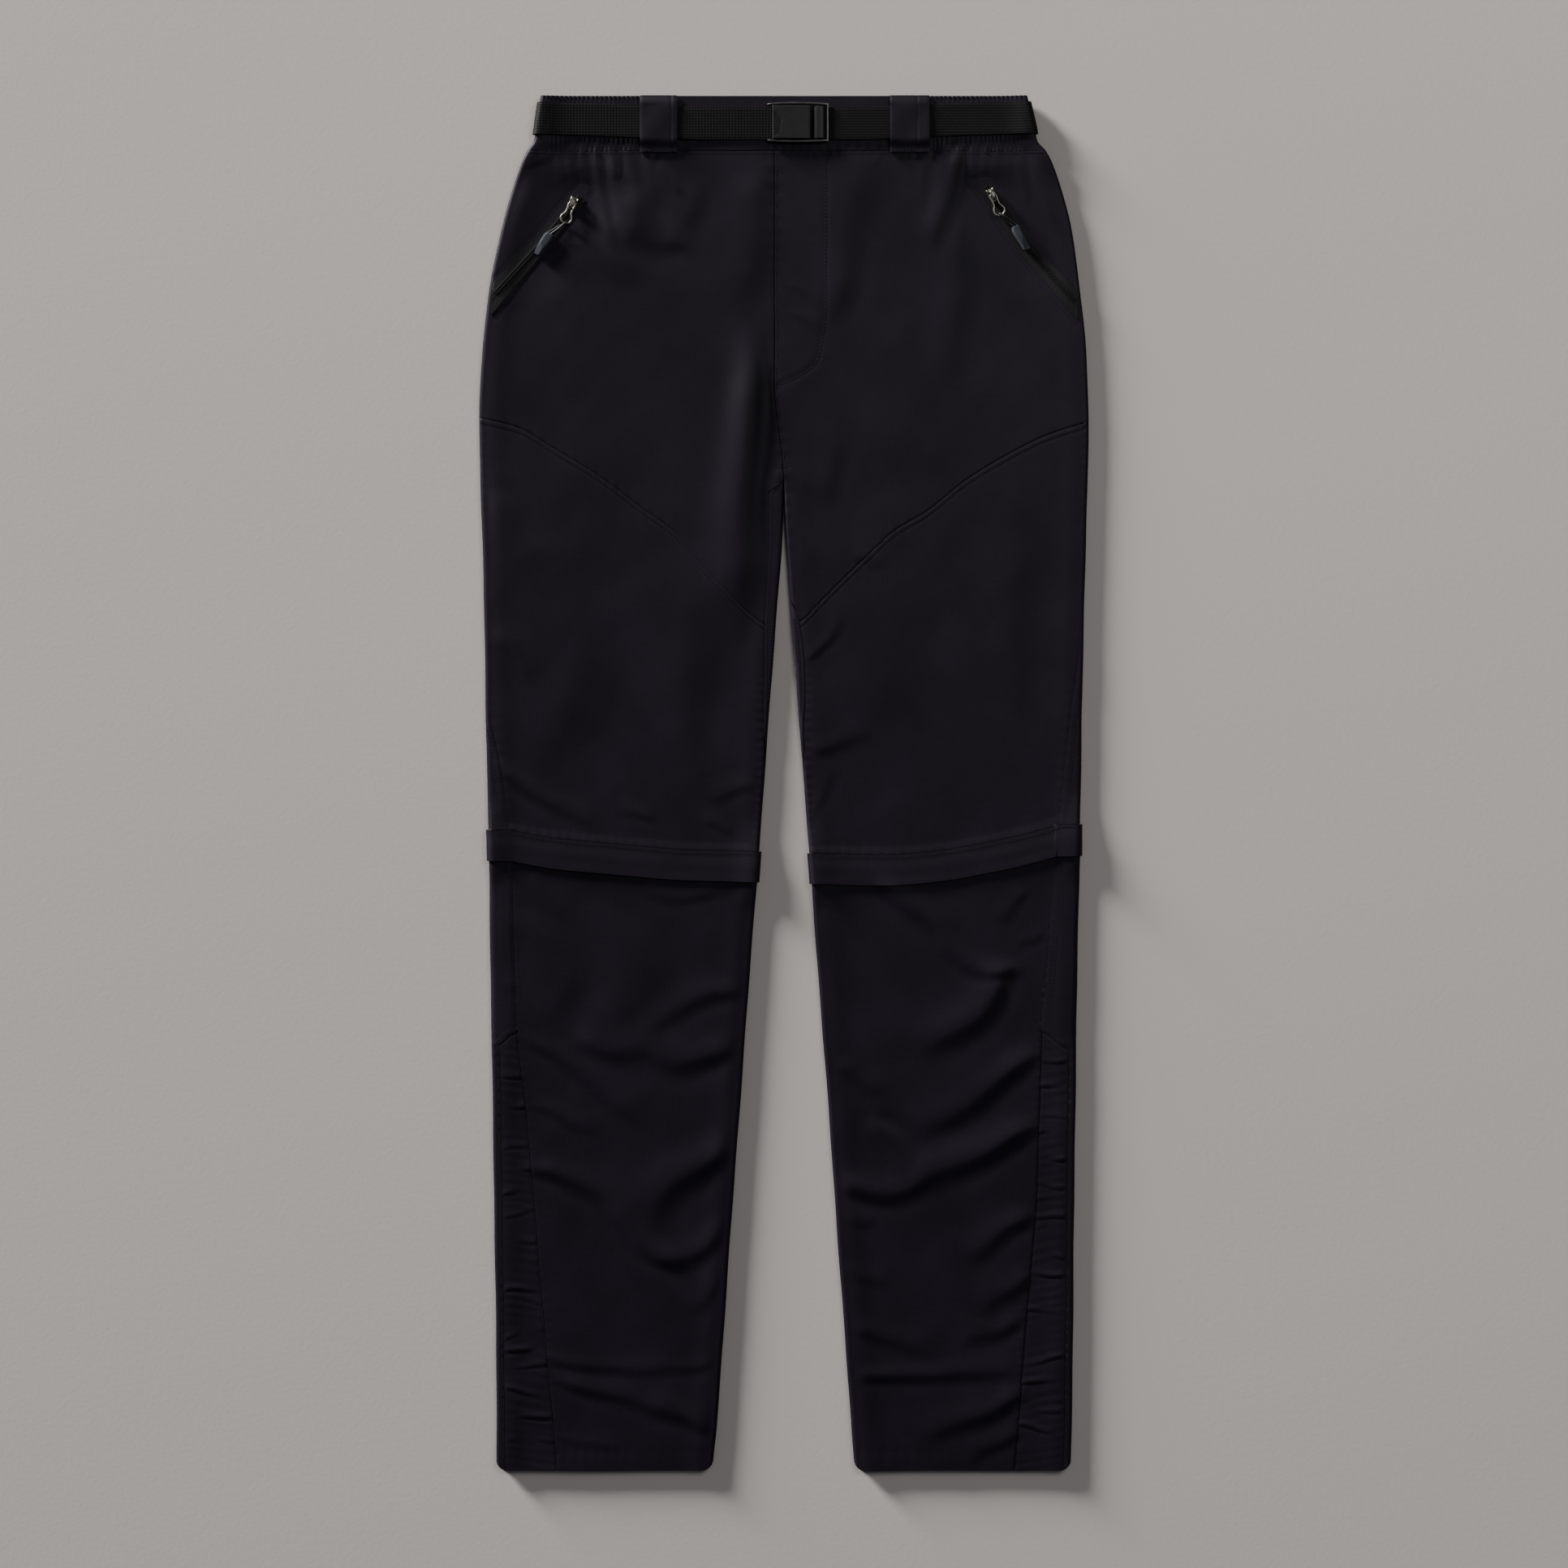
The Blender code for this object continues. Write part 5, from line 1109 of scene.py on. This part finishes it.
    gusset = stripPanel(side, gridLines((0.0, 0.6, 1.3), 290), gridLines((0.0, 0.6, 1.4, 2.4), 16), gussetLine,
                        lambda down: 7.15 + 0.0 * down, lambda down: lip(down) - 2.0 * seamRoom, gussetRelief)
    clothPiece("ankle_gusset", "_panel", tail, gusset, nylon)
    ankleZip = stripPanel(side, gridLines((0.0, 1.0), 120), gridLines((0.0, 0.4), 4), gussetLine,
                          lambda down: 3.45 + 0.0 * down, lambda down: 6.85 + 0.0 * down)
    clothPiece("ankle_zip", "_tape", tail, ankleZip, ankleTape, "zip_tape")
    print("leg made:", name)


for legSide in (-1, 1):
    makeLeg(legSide)


def makeWaist():
    rows = gridLines((0.0, 0.6, 1.4, 2.6), 16)
    down = rowsBetween(rows, seamRoom, waistband - seamRoom)
    for side, start, end in ((-1, -garment["bandJoin"], garment["centreFront"]),
                             (1, garment["centreFront"], garment["bandJoin"])):
        x = columnsBetween(gridLines(seamSteps, 44), start + seamRoom, end - seamRoom) + 0.0 * down
        downHere = down + 0.0 * x
        z = topHeight(side, x, downHere)
        z = z + seamRelief(waistband - downHere, 2.4) + puckers(x, waistband - downHere, 7.5, 0.2)
        z = z + 0.25 * ease((downHere - 33.0) / 3.0) * np.sin(x / 13.0 + downHere / 9.0)
        clothPiece("waistband_front", "_panel", "_" + sideName(side), {"x": x, "z": z, "down": downHere, "run": x},
                   nylon)

    halves = []
    for side in (-1, 1):
        width = outerEdge(side, down) - foldRadius - garment["bandJoin"] - seamRoom
        x = outerX(side, evenColumns(1.0, 0.0, 150, 0.0 * width, width) + quarter, down)
        z = topHeight(side, x, down + 0.0 * x)
        z = z + 0.5 * bell(down / 2.2) * np.sin(2 * math.pi * np.abs(x) / 3.5)
        turn = evenColumns(1.0, -1.0, 15, 0.0 * width, quarter + 0.0 * width)[:, 1:]
        xTurn = outerX(side, turn, down)
        zTurn = outerZ(side, xTurn, down + 0.0 * turn, turn, 0.0, waistLift(down) + 0.0 * turn)
        halves.append((sideBySide(x, xTurn), sideBySide(z, zTurn)))
    (xLeft, zLeft), (xRight, zRight) = halves
    part = np.linspace(0.0, 1.0, 281)[None, 1:-1]
    xUnder = xLeft[:, -1:] + (xRight[:, -1:] - xLeft[:, -1:]) * part
    pleats = 0.4 * np.sin(2 * math.pi * (xUnder + np.sin(xUnder / 9.0)) / 5.2)
    zUnder = halfCloth + waistLift(down) + pleats * np.sin(math.pi * part) ** 0.3
    x, z = sideBySide(xLeft, xUnder, xRight[:, ::-1]), sideBySide(zLeft, zUnder, zRight[:, ::-1])
    clothPiece("waistband_back", "_panel", "", {"x": x, "z": z, "down": down + 0.0 * x, "run": lengthsAlong(x, z)},
               nylon)


makeWaist()
print("waistband made")

belt = {
    "wide": 25.0, "step": 2.0, "bar": -8.8, "end": 35.2,
    "x": (-240, -195, -110, -60, 60, 110, 195, 240), "down": (17.5, 18, 20.5, 22, 22, 20, 17.5, 17.5),
}
beltLow = clothThick + layerRoom + gatherRoom
beltOut = halfCloth + layerRoom + gatherRoom + 0.5 * beltThick
tunnel = {"left": (-113.5, -84.3), "right": (83.5, 114.5), "stitches": {"left": -89.0, "right": 105.0}}


def beltMiddle(x):
    return smoothCurve(x, belt["x"], belt["down"])


def makeBelt():
    # webbing from the buckle's left bar, round the back, to its right bar
    across = np.linspace(-0.5, 0.5, 19)[:, None] * belt["wide"]
    halfWide = 0.5 * belt["wide"]
    halves = []
    for side, start in ((-1, belt["bar"] - 0.3), (1, belt["end"] + 0.3)):
        edgeX = float(outerEdge(side, beltMiddle(side * 195.0)) - foldRadius)
        share = np.linspace(0.0, 1.0, int((edgeX - abs(start)) / belt["step"]))[None, :]
        flatX = side * (abs(start) + (edgeX - abs(start)) * share)
        down = beltMiddle(flatX) + across
        x = flatX + side * (outerEdge(side, down) - foldRadius - edgeX) * ease((share - 0.93) / 0.07)
        under = np.full_like(down, 20.0)
        z = topHeight(side, x, under) - gathers(x, under) + beltOut
        z = z + 0.03 * np.sin(2 * math.pi * across / 2.4) - 0.12 * bell((np.abs(across) - halfWide) / 0.8)
        z = z + 0.12 * np.sin(x / 21.0) * across / halfWide
        turn = np.linspace(1.0, -1.0, 15)[None, 1:] * quarter + 0.0 * across
        downTurn = beltMiddle(side * 195.0) + across + 0.0 * turn
        xTurn = outerX(side, turn, downTurn, beltOut)
        zTurn = outerZ(side, xTurn, downTurn, turn, beltOut, waistLift(downTurn))
        halves.append((sideBySide(x, xTurn), sideBySide(z, zTurn), sideBySide(down, downTurn)))
    part = np.linspace(0.0, 1.0, 160)[None, 1:-1]
    x, z, down = (sideBySide(a, a[:, -1:] + (b[:, -1:] - a[:, -1:]) * part, b[:, ::-1]) for a, b in zip(*halves))
    clothPiece("belt", "_webbing", "", {"x": x, "z": z, "down": down, "run": lengthsAlong(x, z)}, webbing, "webbing",
               beltThick - 0.3, settled=False)


def makeTunnels():
    # strips of cloth over the belt, sewn down at the top edge and under the waistband's seam
    rise = {"down": (0.12, 2.0, 4.0, 6.5, 34.0, 37.0, 39.5, 42.0, 44.6), "share": (0, 0.3, 0.75, 1, 1, 0.7, 0.22, 0, 0)}
    high = beltOut + 0.5 * beltThick + layerRoom + halfCloth
    for side in (-1, 1):
        start, end = tunnel[sideName(side)]
        down = rowsBetween(gridLines((0.0, 0.6, 1.2, 2.0), 40), rise["down"][0], rise["down"][-1])
        x = columnsBetween(gridLines((0.0, 0.4, 0.9, 1.6), 34), start, end)
        x, down = x + 0.0 * down, down + 0.0 * x
        z = topHeight(side, x, down) - gathers(x, down)
        z = z + beltLow + (high - beltLow) * smoothCurve(down, rise["down"], rise["share"])
        z = z - 0.35 * bell(np.minimum(x - start, end - x) / 1.1)
        z = z - 0.3 * bell((x - tunnel["stitches"][sideName(side)]) / 0.8)
        z = z + 0.2 * np.sin(x / 5.0 + down / 8.0) * ease((down - 4.0) / 6.0) * ease((40.0 - down) / 6.0)
        clothPiece("belt_tunnel", "_strip", "_" + sideName(side), {"x": x, "z": z, "down": down, "run": x}, nylon,
                   settled=False)


makeBelt()
makeTunnels()
print("belt and tunnels made")

# places by x, down and height; the hatching is a patch of slanting ridges, given by its corners
buckle = {
    "wide": (-13.4, 35.2), "down": (5.8, 37.2), "rail": 2.2, "thick": 4.0, "leftBar": (-8.8, -6.0),
    "plate": (-9.2, 20.7), "roundBar": (22.6, 32.6), "bow": 0.9, "groove": 19.4,
    "hatch": ((-8.7, 12.0), (-5.8, 14.1), (-1.4, 19.0), (-2.9, 31.1), (-7.9, 33.1)), "hatchPitch": 1.15,
}


def makeBuckle():
    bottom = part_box("buckle_frame")[0].z / mm
    x1, x2 = buckle["wide"]
    d1, d2 = buckle["down"]
    shells = []
    # rails: flattened rods that bow out a little between their ends
    for edge, way in ((d1 + 0.5 * buckle["rail"], -1.0), (d2 - 0.5 * buckle["rail"], 1.0)):
        x = np.linspace(x1 + 0.4, x2 - 0.4, 33)
        share = (x - x1) / (x2 - x1)
        bow = way * buckle["bow"] * (np.sin(math.pi * share) ** 0.8 - 0.55)
        z = bottom + 0.5 * buckle["thick"] + 0.35 * np.sin(math.pi * share)
        taper = 0.55 + 0.45 * ease(np.minimum(share, 1 - share) / 0.06)
        shells.append(sweepShell(np.stack([x, middleDown - edge - bow, z], axis=-1), (0, 0, 1),
                                 0.5 * buckle["rail"] * taper, 1.75 * taper, 0.75, 14))
    for start, end, rise, thick in ((*buckle["leftBar"], 1.2, 1.0), (x2 - 1.8, x2 - 0.1, 1.9, 1.5)):
        y = middleDown - np.linspace(d1 + 0.8, d2 - 0.8, 17)
        path = np.stack([np.full_like(y, 0.5 * (start + end)), y, np.full_like(y, bottom + rise)], axis=-1)
        shells.append(sweepShell(path, (0, 0, 1), 0.5 * (end - start), thick, 0.7, 12))
    hardPiece("buckle_rails", "buckle_frame", shells, railMetal)

    # cover plate: rounded edges, a slight crown, the hatching, and a groove by its free edge
    head, foot = d1 + buckle["rail"] + 0.25, d2 - buckle["rail"] - 0.25
    p1, p2 = buckle["plate"]
    x, down = np.meshgrid(np.linspace(p1, p2, 90), np.linspace(head, foot, 78))
    fromEdge = np.minimum(np.minimum(x - p1, p2 - x), np.minimum(down - head, foot - down))
    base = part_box("buckle_plate")[0].z / mm
    plateTop = base + 1.75 + 0.25 * np.sin(math.pi * (x - p1) / (p2 - p1)) - 0.7 * roundedEdge(fromEdge, 0.9)
    corners = np.array(buckle["hatch"])
    inPatch = np.full(x.shape, 9.0)
    for (ax, ad), (bx, bd) in zip(corners, np.roll(corners, -1, axis=0)):
        inPatch = np.minimum(inPatch, ((bx - ax) * (down - ad) - (bd - ad) * (x - ax)) / math.hypot(bx - ax, bd - ad))
    ridge = np.sin(2 * math.pi * (x * 0.77 - down * 0.64) / buckle["hatchPitch"])
    plateTop = plateTop + ease(inPatch / 0.35) * (0.2 * ridge - 0.14)
    plateTop = plateTop - 0.25 * bell((x - buckle["groove"]) / 0.25) * ease((fromEdge - 0.6) / 0.5)
    hardPiece("buckle_cover", "buckle_plate", [reliefShell(x, middleDown - down, plateTop, base)], platePaint)

    # round bar: a half cylinder with softened ends
    r1, r2 = buckle["roundBar"]
    x, down = np.meshgrid(np.linspace(r1, r2, 41), np.linspace(head, foot, 61))
    share = np.clip((x - 0.5 * (r1 + r2)) / (0.5 * (r2 - r1)), -1, 1)
    fromEnd = np.minimum(down - head, foot - down)
    low, high = (corner.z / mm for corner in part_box("buckle_bar"))
    barTop = (high - low) * (0.18 + 0.82 * np.sqrt(1.0 - 0.96 * share ** 2)) * (1.0 - 0.25 * roundedEdge(fromEnd, 1.2))
    hardPiece("buckle_roller", "buckle_bar", [reliefShell(x, middleDown - down, low + barTop, low)], platePaint)


makeBuckle()
print("buckle made")

# coil: how far across the tape the teeth meet, then their distance to each side, length and radius
zipLook = {"thick": 1.0, "out": 1.4, "rows": 120, "columns": 25, "toothPitch": 1.25, "coil": (0.46, 1.15, 2.1, 0.4)}


def makePocketZip(side):
    tail = "_" + sideName(side)
    coilAt, toothOut, toothLong, toothRadius = zipLook["coil"]
    share = np.linspace(0.0, 1.0, zipLook["rows"])
    upperX, upperDown, lowerX, lowerDown = (np.interp(share, (0.0, 0.5, 1.0), edge)[:, None]
                                            for edge in np.transpose(pockets[side]["edges"]))
    across = np.linspace(0.0, 1.0, zipLook["columns"])[None, :]
    down = upperDown + (lowerDown - upperDown) * across
    x = np.abs(upperX + (lowerX - upperX) * across)
    x = side * np.minimum(x, outerEdge(side, down) - foldRadius - 0.3)
    base = topHeight(side, x, down) + zipLook["out"]
    # the tape is raised under the coil, with a narrow groove where the teeth meet
    fromMiddle = (across - coilAt) * np.hypot(x[:, -1:] - x[:, :1], down[:, -1:] - down[:, :1])
    z = base - 0.65 + 0.25 * bell(fromMiddle / 2.0) - 0.25 * bell(fromMiddle / 0.35)
    clothPiece("pocket_zip", "_tape", tail,
               {"x": x, "z": z, "down": down, "run": fromMiddle, "along": lengthsAlong(x, down, axis=0)}, tape,
               "zip_tape", zipLook["thick"], settled=False)
    # coil teeth: short rounded rods in two rows that meet along the middle
    middle = int(coilAt * (x.shape[1] - 1))
    line = np.stack([x[:, middle], middleDown - down[:, middle], base[:, middle]], axis=-1)
    path = smoothPath(line[::6], zipLook["toothPitch"])
    ahead = unit(np.gradient(path, axis=0))
    sideways = np.cross(ahead, (0.0, 0.0, 1.0))
    centres = [path + ahead * shift * zipLook["toothPitch"] + sideways * row * toothOut + (0.0, 0.0, 0.05)
               for row, shift in ((-1.0, 0.0), (1.0, 0.5))]
    rodPiece("pocket_coil" + tail, np.concatenate(centres), np.tile(sideways + 0.12 * ahead, (2, 1)), toothLong,
             toothRadius, tape)


# the puller's outline is ahead of the hinge and to one side, the bridge ahead of it and up from the slider's
# foot, and the cord's bend ahead of the puller's end, to one side and up
pull = {
    "wire": 0.75, "sliderLong": 11.0, "cordRadius": 0.62, "tabThick": 3.0, "tabDrop": 1.1,
    "outline": ((0.0, 2.3), (2.2, 2.5), (5.5, 2.15), (8.4, 2.3), (10.6, 3.5), (13.0, 4.3), (15.4, 3.5), (16.7, 1.6)),
    "bridge": ((-3.6, 1.2), (-3.7, 3.2), (-3.2, 4.9), (-1.6, 5.45), (0.0, 5.5), (1.6, 5.45), (3.2, 4.9), (3.7, 3.2),
               (3.6, 1.2)),
    "bend": ((4.2, 0.9, 1.5), (1.4, 0.5, 2.3), (-1.6, 0.3, 1.8), (-2.4, 0.0, 0.0), (-1.6, -0.3, -1.8),
             (1.4, -0.5, -2.3), (4.2, -0.9, -1.6)),
}


def placesFrom(start, *ways):
    # places reached from above or below a start, at the heights and distances given with each way
    return start * (1, 1, 0) + sum(np.multiply.outer(distance, way) for distance, way in ways)


def beside(way):
    # level, a quarter turn to the left of a way
    return np.array([-way[1], way[0], 0.0])


def makePull(side):
    tail = "_" + sideName(side)
    body = "pull" + tail
    hingeZ = 0.5 * sum(corner.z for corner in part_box("puller" + tail)) / mm
    hinge, pullEnd, tabTop, tabEnd = (np.array([pockets[side][key][0], middleDown - pockets[side][key][1], hingeZ])
                                      for key in ("slider", "puller", "cord", "tab"))
    up = np.array([0.0, 0.0, 1.0])
    ahead = unit(pullEnd - hinge)

    def at(u, v, z):
        return placesFrom(hinge, (u, ahead), (v, beside(ahead)), (z, up))

    # slider: a waisted body, raised shoulders, and a bridge over the puller's crossbar
    halfLong = 0.5 * pull["sliderLong"]
    u = np.linspace(-halfLong, halfLong, 45)[None, :] + np.zeros((33, 1))
    halfWide = 3.5 - 0.9 * ease((u + 1.0) / 6.5) - 0.25 * bell((u + 1.0) / 1.6)
    v = np.linspace(-1.0, 1.0, 33)[:, None] * halfWide
    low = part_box("slider" + tail)[0].z / mm
    shoulders = 0.5 * bell((np.abs(v) - 2.6) / 0.6) * ease((-u - 1.5) / 1.5)
    rounded = 0.8 * roundedEdge(np.minimum(halfWide - np.abs(v), halfLong - np.abs(u)), 1.0)
    sliderBlock = reliefShell(*np.moveaxis(at(u, v, low + 1.8 - rounded + shoulders), -1, 0), low)
    curve = smoothPath(pull["bridge"], 0.5)
    bridge = sweepShell(at(curve[:, 0], 0.0 * curve[:, 0], low + curve[:, 1]), beside(ahead), 0.5, 1.15, 0.6, 12)
    hardPiece("slider_body" + tail, "slider" + tail, [sliderBlock, bridge], silver)

    # puller: one bent rod, bottle shaped, with its crossbar through the bridge
    rim = smoothPath(pull["outline"], 0.7)
    rim[:, 0] *= (float(np.linalg.norm(pullEnd - hinge)) - pull["wire"]) / rim[:, 0].max()
    loop = np.concatenate([rim, (rim * (1, -1))[::-1]])
    rod = sweepShell(at(loop[:, 0], loop[:, 1], np.full(len(loop), hingeZ)), up, pull["wire"], pull["wire"] * 0.85, 0.8,
                     12, closed=True)
    hardPiece("puller_loop" + tail, "puller" + tail, [rod], silver, body)

    # cord: up through the puller's round end and back, both strands into the tab
    toTab = unit(tabTop - pullEnd)
    across = beside(toTab)
    inTab = tabTop + toTab * 1.2 - up * pull["tabDrop"]
    bend = [pullEnd + toTab * a + across * b + up * c for a, b, c in pull["bend"]]
    cord = sweepShell(smoothPath([inTab + across, *bend, inTab - across], 0.5), across, pull["cordRadius"],
                      pull["cordRadius"], 1.0, 10)
    hardPiece("pull_cord_loop" + tail, "pull_cord" + tail, [cord], cordMaterial, body)

    # tab: faceted, widest near the cord, with a bevel all round and a slanting face at its end
    halfThick = 0.5 * pull["tabThick"]
    tabMiddle = hingeZ - pull["tabDrop"]
    length = float(np.linalg.norm(tabEnd - tabTop))
    downTab = unit(tabEnd - tabTop)
    t = np.linspace(0.0, 1.0, 61)[:, None]
    halfTab = 2.6 + 1.1 * ease(t / 0.16) - 1.15 * ease((t - 0.25) / 0.75) - 0.7 * ease((t - 0.93) / 0.07)
    w = np.linspace(-1.0, 1.0, 41)[None, :] * halfTab
    fromRim = np.minimum(np.minimum(halfTab - np.abs(w), t * length), (1.0 - t) * length * 0.7)
    slant = np.maximum(halfThick - 0.32 * np.maximum(w * side * 0.6 + (t - 0.62) * 8.0, 0.0), 0.35)
    faceTop = np.minimum(np.minimum(halfThick, 0.45 + 0.75 * fromRim), slant)
    spots = placesFrom(tabTop, (1.1 + t * (length - 0.2), downTab), (w, beside(downTab)), (tabMiddle + faceTop, up))
    grip = reliefShell(*np.moveaxis(spots, -1, 0), tabMiddle - halfThick)
    hardPiece("pull_tab_grip" + tail, "pull_tab" + tail, [grip], rubber, body)


cordMaterial = makeHard("Grey pull cord", looks["cord"], 0.0, 2400.0, 0.00006)
for pullSide in (-1, 1):
    makePocketZip(pullSide)
    makePull(pullSide)
print("pocket zips and pulls made")

stitch = {"pitch": 2.9, "long": 2.1, "radius": 0.18, "sink": 0.1}


def stitchRows():
    # every row as its side, x and down along it, and its height above the front's middle
    rows = []

    def add(side, x, down, lift):
        rows.append((side, x, down + 0.0 * x, halfCloth + lift))

    for side in (-1, 1):
        # along the slanted seam, and the second row below it
        x = side * np.linspace(236.0, 26.0 if side < 0 else 22.0, 300)
        for below in (0.9, 4.5):
            add(side, x, yokeSeam(side, x) + below, -0.2)
        # pocket, waistband seam
        add(side, *smoothPath(pockets[side]["stitching"], 1.0).T, -0.3)
        for below in (-2.4, 2.6):
            for start, end in ((9.5 if side < 0 else 0.0, 82.0), (116.0, 196.0)):
                add(side, side * np.linspace(start, end, 200), waistband + below, -0.3)
        # top of the knee flap, and the hem
        x = side * np.linspace(228.0, 24.0, 300)
        add(side, x, kneeSeam(side, x) + 1.7, flapOut - 0.2)
        add(side, side * np.linspace(221.0, 60.0, 240), hem - 15.5, -0.3)
        # side seam on the back panel's lip
        for low, high in ((500.0, 574.0), (606.0, 734.0)):
            down = np.linspace(low, high, 200)
            for inset in (0.9, 5.0):
                add(side, outerX(side, outerLip(side, down) - inset, down), down, -0.2)
        # gusset seam, on the shin, and the slanted top of the gusset
        down = np.linspace(744.0, 1068.0, 300)
        add(side, outerX(side, outerLip(side, down) + 1.2, down), down, -0.2)
        corner = float(outerEdge(side, gussetTop) - outerLip(side, gussetTop))
        x = side * np.linspace(corner + 1.0, 226.0, 40)
        for above in (1.1, 5.0):
            add(side, x, gussetTop - above + gussetSlope * (np.abs(x) - corner), -0.2)
        # inseam strip, shorter on the right leg
        for inset, high in ((1.1, 505.0), (3.8, 478.0), (6.5, 446.0)):
            low, high = (318.0, high) if side < 0 else (412.0, min(high, 492.0))
            down = np.linspace(low, high, 160)
            add(side, innerX(side, innerLip(side, down) - inset, down, back=True), down, -0.2)
    # fly: beside the centre seam, the three rows down to the crotch, and the bent row
    for side, low, count in ((1, 46.0, 240), (-1, 229.0, 90)):
        down = np.linspace(low, 300.0, count)
        add(side, centreSeam(down) + side * 1.6, down, -0.1)
    for inset in (1.1, 3.4, 5.6):
        start = ((-1.6, 283.0 + inset), (-6.2 + 0.7 * inset, 296.0), (-11.2 + inset, 312.0))
        add(-1, *smoothPath(start, 1.0).T, -0.2)
    add(1, *smoothPath(flyStitches, 1.0).T, -0.3)
    # across the foot of the belt tunnels
    for side in (-1, 1):
        start, end = tunnel[sideName(side)]
        for down, lower in ((40.9, 0.0), (43.4, 0.05)):
            add(side, np.linspace(start + 1.0, end - 1.0, 40), down, beltLow - lower)
    return rows


def makeStitching():
    perSide = {-1: ([], []), 1: ([], [])}
    for side, x, down, lift in stitchRows():
        z = topHeight(side, x, down) + lift - stitch["sink"] + stitch["radius"]
        movedX, movedDown = settle(x, down)
        line = np.stack([movedX, middleDown - movedDown, z], axis=-1)
        lengths = pathLengths(line)
        spots = np.arange(1.0, lengths[-1] - 1.0, stitch["pitch"])
        centres, later, earlier = (placesOn(line, lengths, spots + shift) for shift in (0.0, 1.0, -1.0))
        perSide[side][0].append(centres)
        perSide[side][1].append(later - earlier)
    for side, (centres, ways) in perSide.items():
        rodPiece("stitching_" + sideName(side), np.concatenate(centres), np.concatenate(ways), stitch["long"],
                 stitch["radius"], thread)


makeStitching()
print("stitching made")
